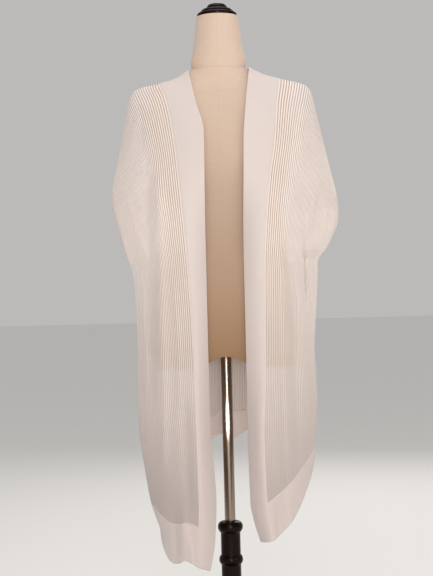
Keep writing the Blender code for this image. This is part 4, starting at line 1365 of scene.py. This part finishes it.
class CARDIGAN_OT_form(bpy.types.Operator):
    """Cover the dress form"""

    bl_idname = "cardigan.form"
    bl_label = "Dress form"

    def execute(self, context):
        rings = form_surface()
        rows, count = rings.shape[:2]
        index = np.arange(rows * count).reshape(rows, count)
        following = np.roll(index, -1, axis=1)
        sides = [index[:-1], following[:-1], following[1:], index[1:]]
        faces = np.stack(sides, -1).reshape(-1, 4).tolist()
        middle = rows * count
        faces += [(b, a, middle) for a, b in zip(index[0].tolist(), following[0].tolist())]
        faces += [(a, b, middle + 1) for a, b in zip(index[-1].tolist(), following[-1].tolist())]
        ends = np.array([(0.0, 0.0, POLE_TOP + SEAM_GAP), (0.0, 0.0, FORM_NECK[-1][0])])
        points = np.concatenate([rings.reshape(-1, 3), ends])
        mesh = bpy.data.meshes.new("form_cover")
        mesh.from_pydata(points.tolist(), [], faces)
        mesh.shade_smooth()
        mesh.set_sharp_from_angle(angle=math.radians(50))
        mesh.materials.append(linen_cover(context.scene.cardigan_form))
        adopt(bpy.data.objects.new("form_cover", mesh), ("form_torso",))
        return {"FINISHED"}


class CARDIGAN_OT_stand(bpy.types.Operator):
    """Turn the cap, column and foot, and draw the pole"""

    bl_idname = "cardigan.stand"
    bl_label = "Cap and stand"

    def execute(self, context):
        stand = context.scene.cardigan_stand
        wood, steel = dark_wood(stand), pole_steel(stand)
        cap = softened([(radius, CAP_BASE + height) for radius, height in CAP_PROFILE])
        turned("turned_cap", cap, wood, ("neck_cap",))
        turned("turned_column", softened(COLUMN_PROFILE), wood, ("stand_column",))
        turned("round_foot", softened(FOOT_PROFILE), wood, ("stand_foot",), around=128)
        base = COLLAR_TOP + SEAM_GAP
        pole = [(0.0, POLE_TOP), (POLE_RADIUS, POLE_TOP), (POLE_RADIUS, base), (0.0, base)]
        turned("steel_pole", softened(pole, share=0.05), steel, ("pole",))
        return {"FINISHED"}


class CARDIGAN_OT_stage(bpy.types.Operator):
    """Lay the floor, and set the light and the camera"""

    bl_idname = "cardigan.stage"
    bl_label = "Stage"

    def execute(self, context):
        stage = context.scene.cardigan_stage
        scene = context.scene
        self.floor(scene, stage)
        for name, place, width, power_name, tint, target in LAMPS:
            self.lamp(scene, name, place, width, getattr(stage, power_name), tint, target)
        scene.view_settings.view_transform = "Standard"
        world = bpy.data.worlds.new("studio")
        world.use_nodes = True
        background = world.node_tree.nodes["Background"]
        background.inputs["Color"].default_value = SKY_COLOUR
        background.inputs["Strength"].default_value = stage.sky_strength
        scene.world = world
        camera = bpy.data.objects.new("camera", bpy.data.cameras.new("camera"))
        camera.data.lens = stage.focal_length
        camera.data.sensor_width = SENSOR_WIDTH
        camera.data.shift_x = -AXIS_OFFSET_PX / FRAME_HEIGHT_PX
        camera.location = (0.0, -stage.camera_distance, stage.camera_height)
        camera.rotation_euler = (math.pi / 2, CAMERA_ROLL, 0.0)
        scene.collection.objects.link(camera)
        scene.camera = camera
        return {"FINISHED"}

    def floor(self, scene, stage):
        """A wide pale floor."""
        half = FLOOR_HALF_WIDTH
        mesh = bpy.data.meshes.new("floor")
        corners = [(-half, -half, 0), (half, -half, 0), (half, half, 0), (-half, half, 0)]
        mesh.from_pydata(corners, [], [(0, 1, 2, 3)])
        paper = Finish("floor_paper", 0.9)
        fibre = paper.noise(30.0, 4.0)
        paper.set(
            Base_Color=paper.mix(fibre * 0.15, stage.floor_colour, FLOOR_FIBRE_COLOUR),
            Normal=paper.bump(fibre, 0.0004, 0.2),
        )
        mesh.materials.append(paper.material)
        floor = bpy.data.objects.new("floor", mesh)
        scene.collection.objects.link(floor)

    def lamp(self, scene, name, place, width, watts, tint, target):
        """A round soft light that isn't seen itself."""
        light = bpy.data.lights.new(name, "AREA")
        light.shape = "DISK"
        light.size = width
        light.energy = watts
        light.color = tint
        lamp = bpy.data.objects.new(name, light)
        lamp.location = place
        lamp.visible_camera = False
        aim = np.array(target) - np.array(place)
        flat = math.hypot(aim[0], aim[1])
        lamp.rotation_euler = (math.atan2(flat, -aim[2]), 0.0, math.atan2(aim[1], aim[0]) - math.pi / 2)
        scene.collection.objects.link(lamp)


class CARDIGAN_PT_panel(bpy.types.Panel):
    """Lists the makers of the cardigan and its form"""

    bl_idname = "CARDIGAN_PT_panel"
    bl_label = "Cardigan"
    bl_space_type = "VIEW_3D"
    bl_region_type = "UI"
    bl_category = "Cardigan"

    def draw(self, context):
        for group_name in GROUPS:
            group = getattr(context.scene, group_name)
            box = self.layout.box()
            for name in group.__annotations__:
                box.prop(group, name)
        for operator in OPERATORS:
            self.layout.operator(operator.bl_idname)


GROUPS = {
    "cardigan_knit": CardiganKnit,
    "cardigan_form": CardiganForm,
    "cardigan_stand": CardiganStand,
    "cardigan_stage": CardiganStage,
}
OPERATORS = (
    CARDIGAN_OT_form,
    CARDIGAN_OT_panels,
    CARDIGAN_OT_bands,
    CARDIGAN_OT_seams,
    CARDIGAN_OT_stand,
    CARDIGAN_OT_stage,
)


def register():
    for made in (*GROUPS.values(), *OPERATORS, CARDIGAN_PT_panel):
        bpy.utils.register_class(made)
    for name, group in GROUPS.items():
        setattr(bpy.types.Scene, name, bpy.props.PointerProperty(type=group))


def unregister():
    for name in GROUPS:
        delattr(bpy.types.Scene, name)
    for made in (CARDIGAN_PT_panel, *OPERATORS[::-1], *list(GROUPS.values())[::-1]):
        bpy.utils.unregister_class(made)


def main():
    register()
    for operator in OPERATORS:
        group, name = operator.bl_idname.split(".")
        getattr(getattr(bpy.ops, group), name)()


if __name__ == "__main__":
    main()
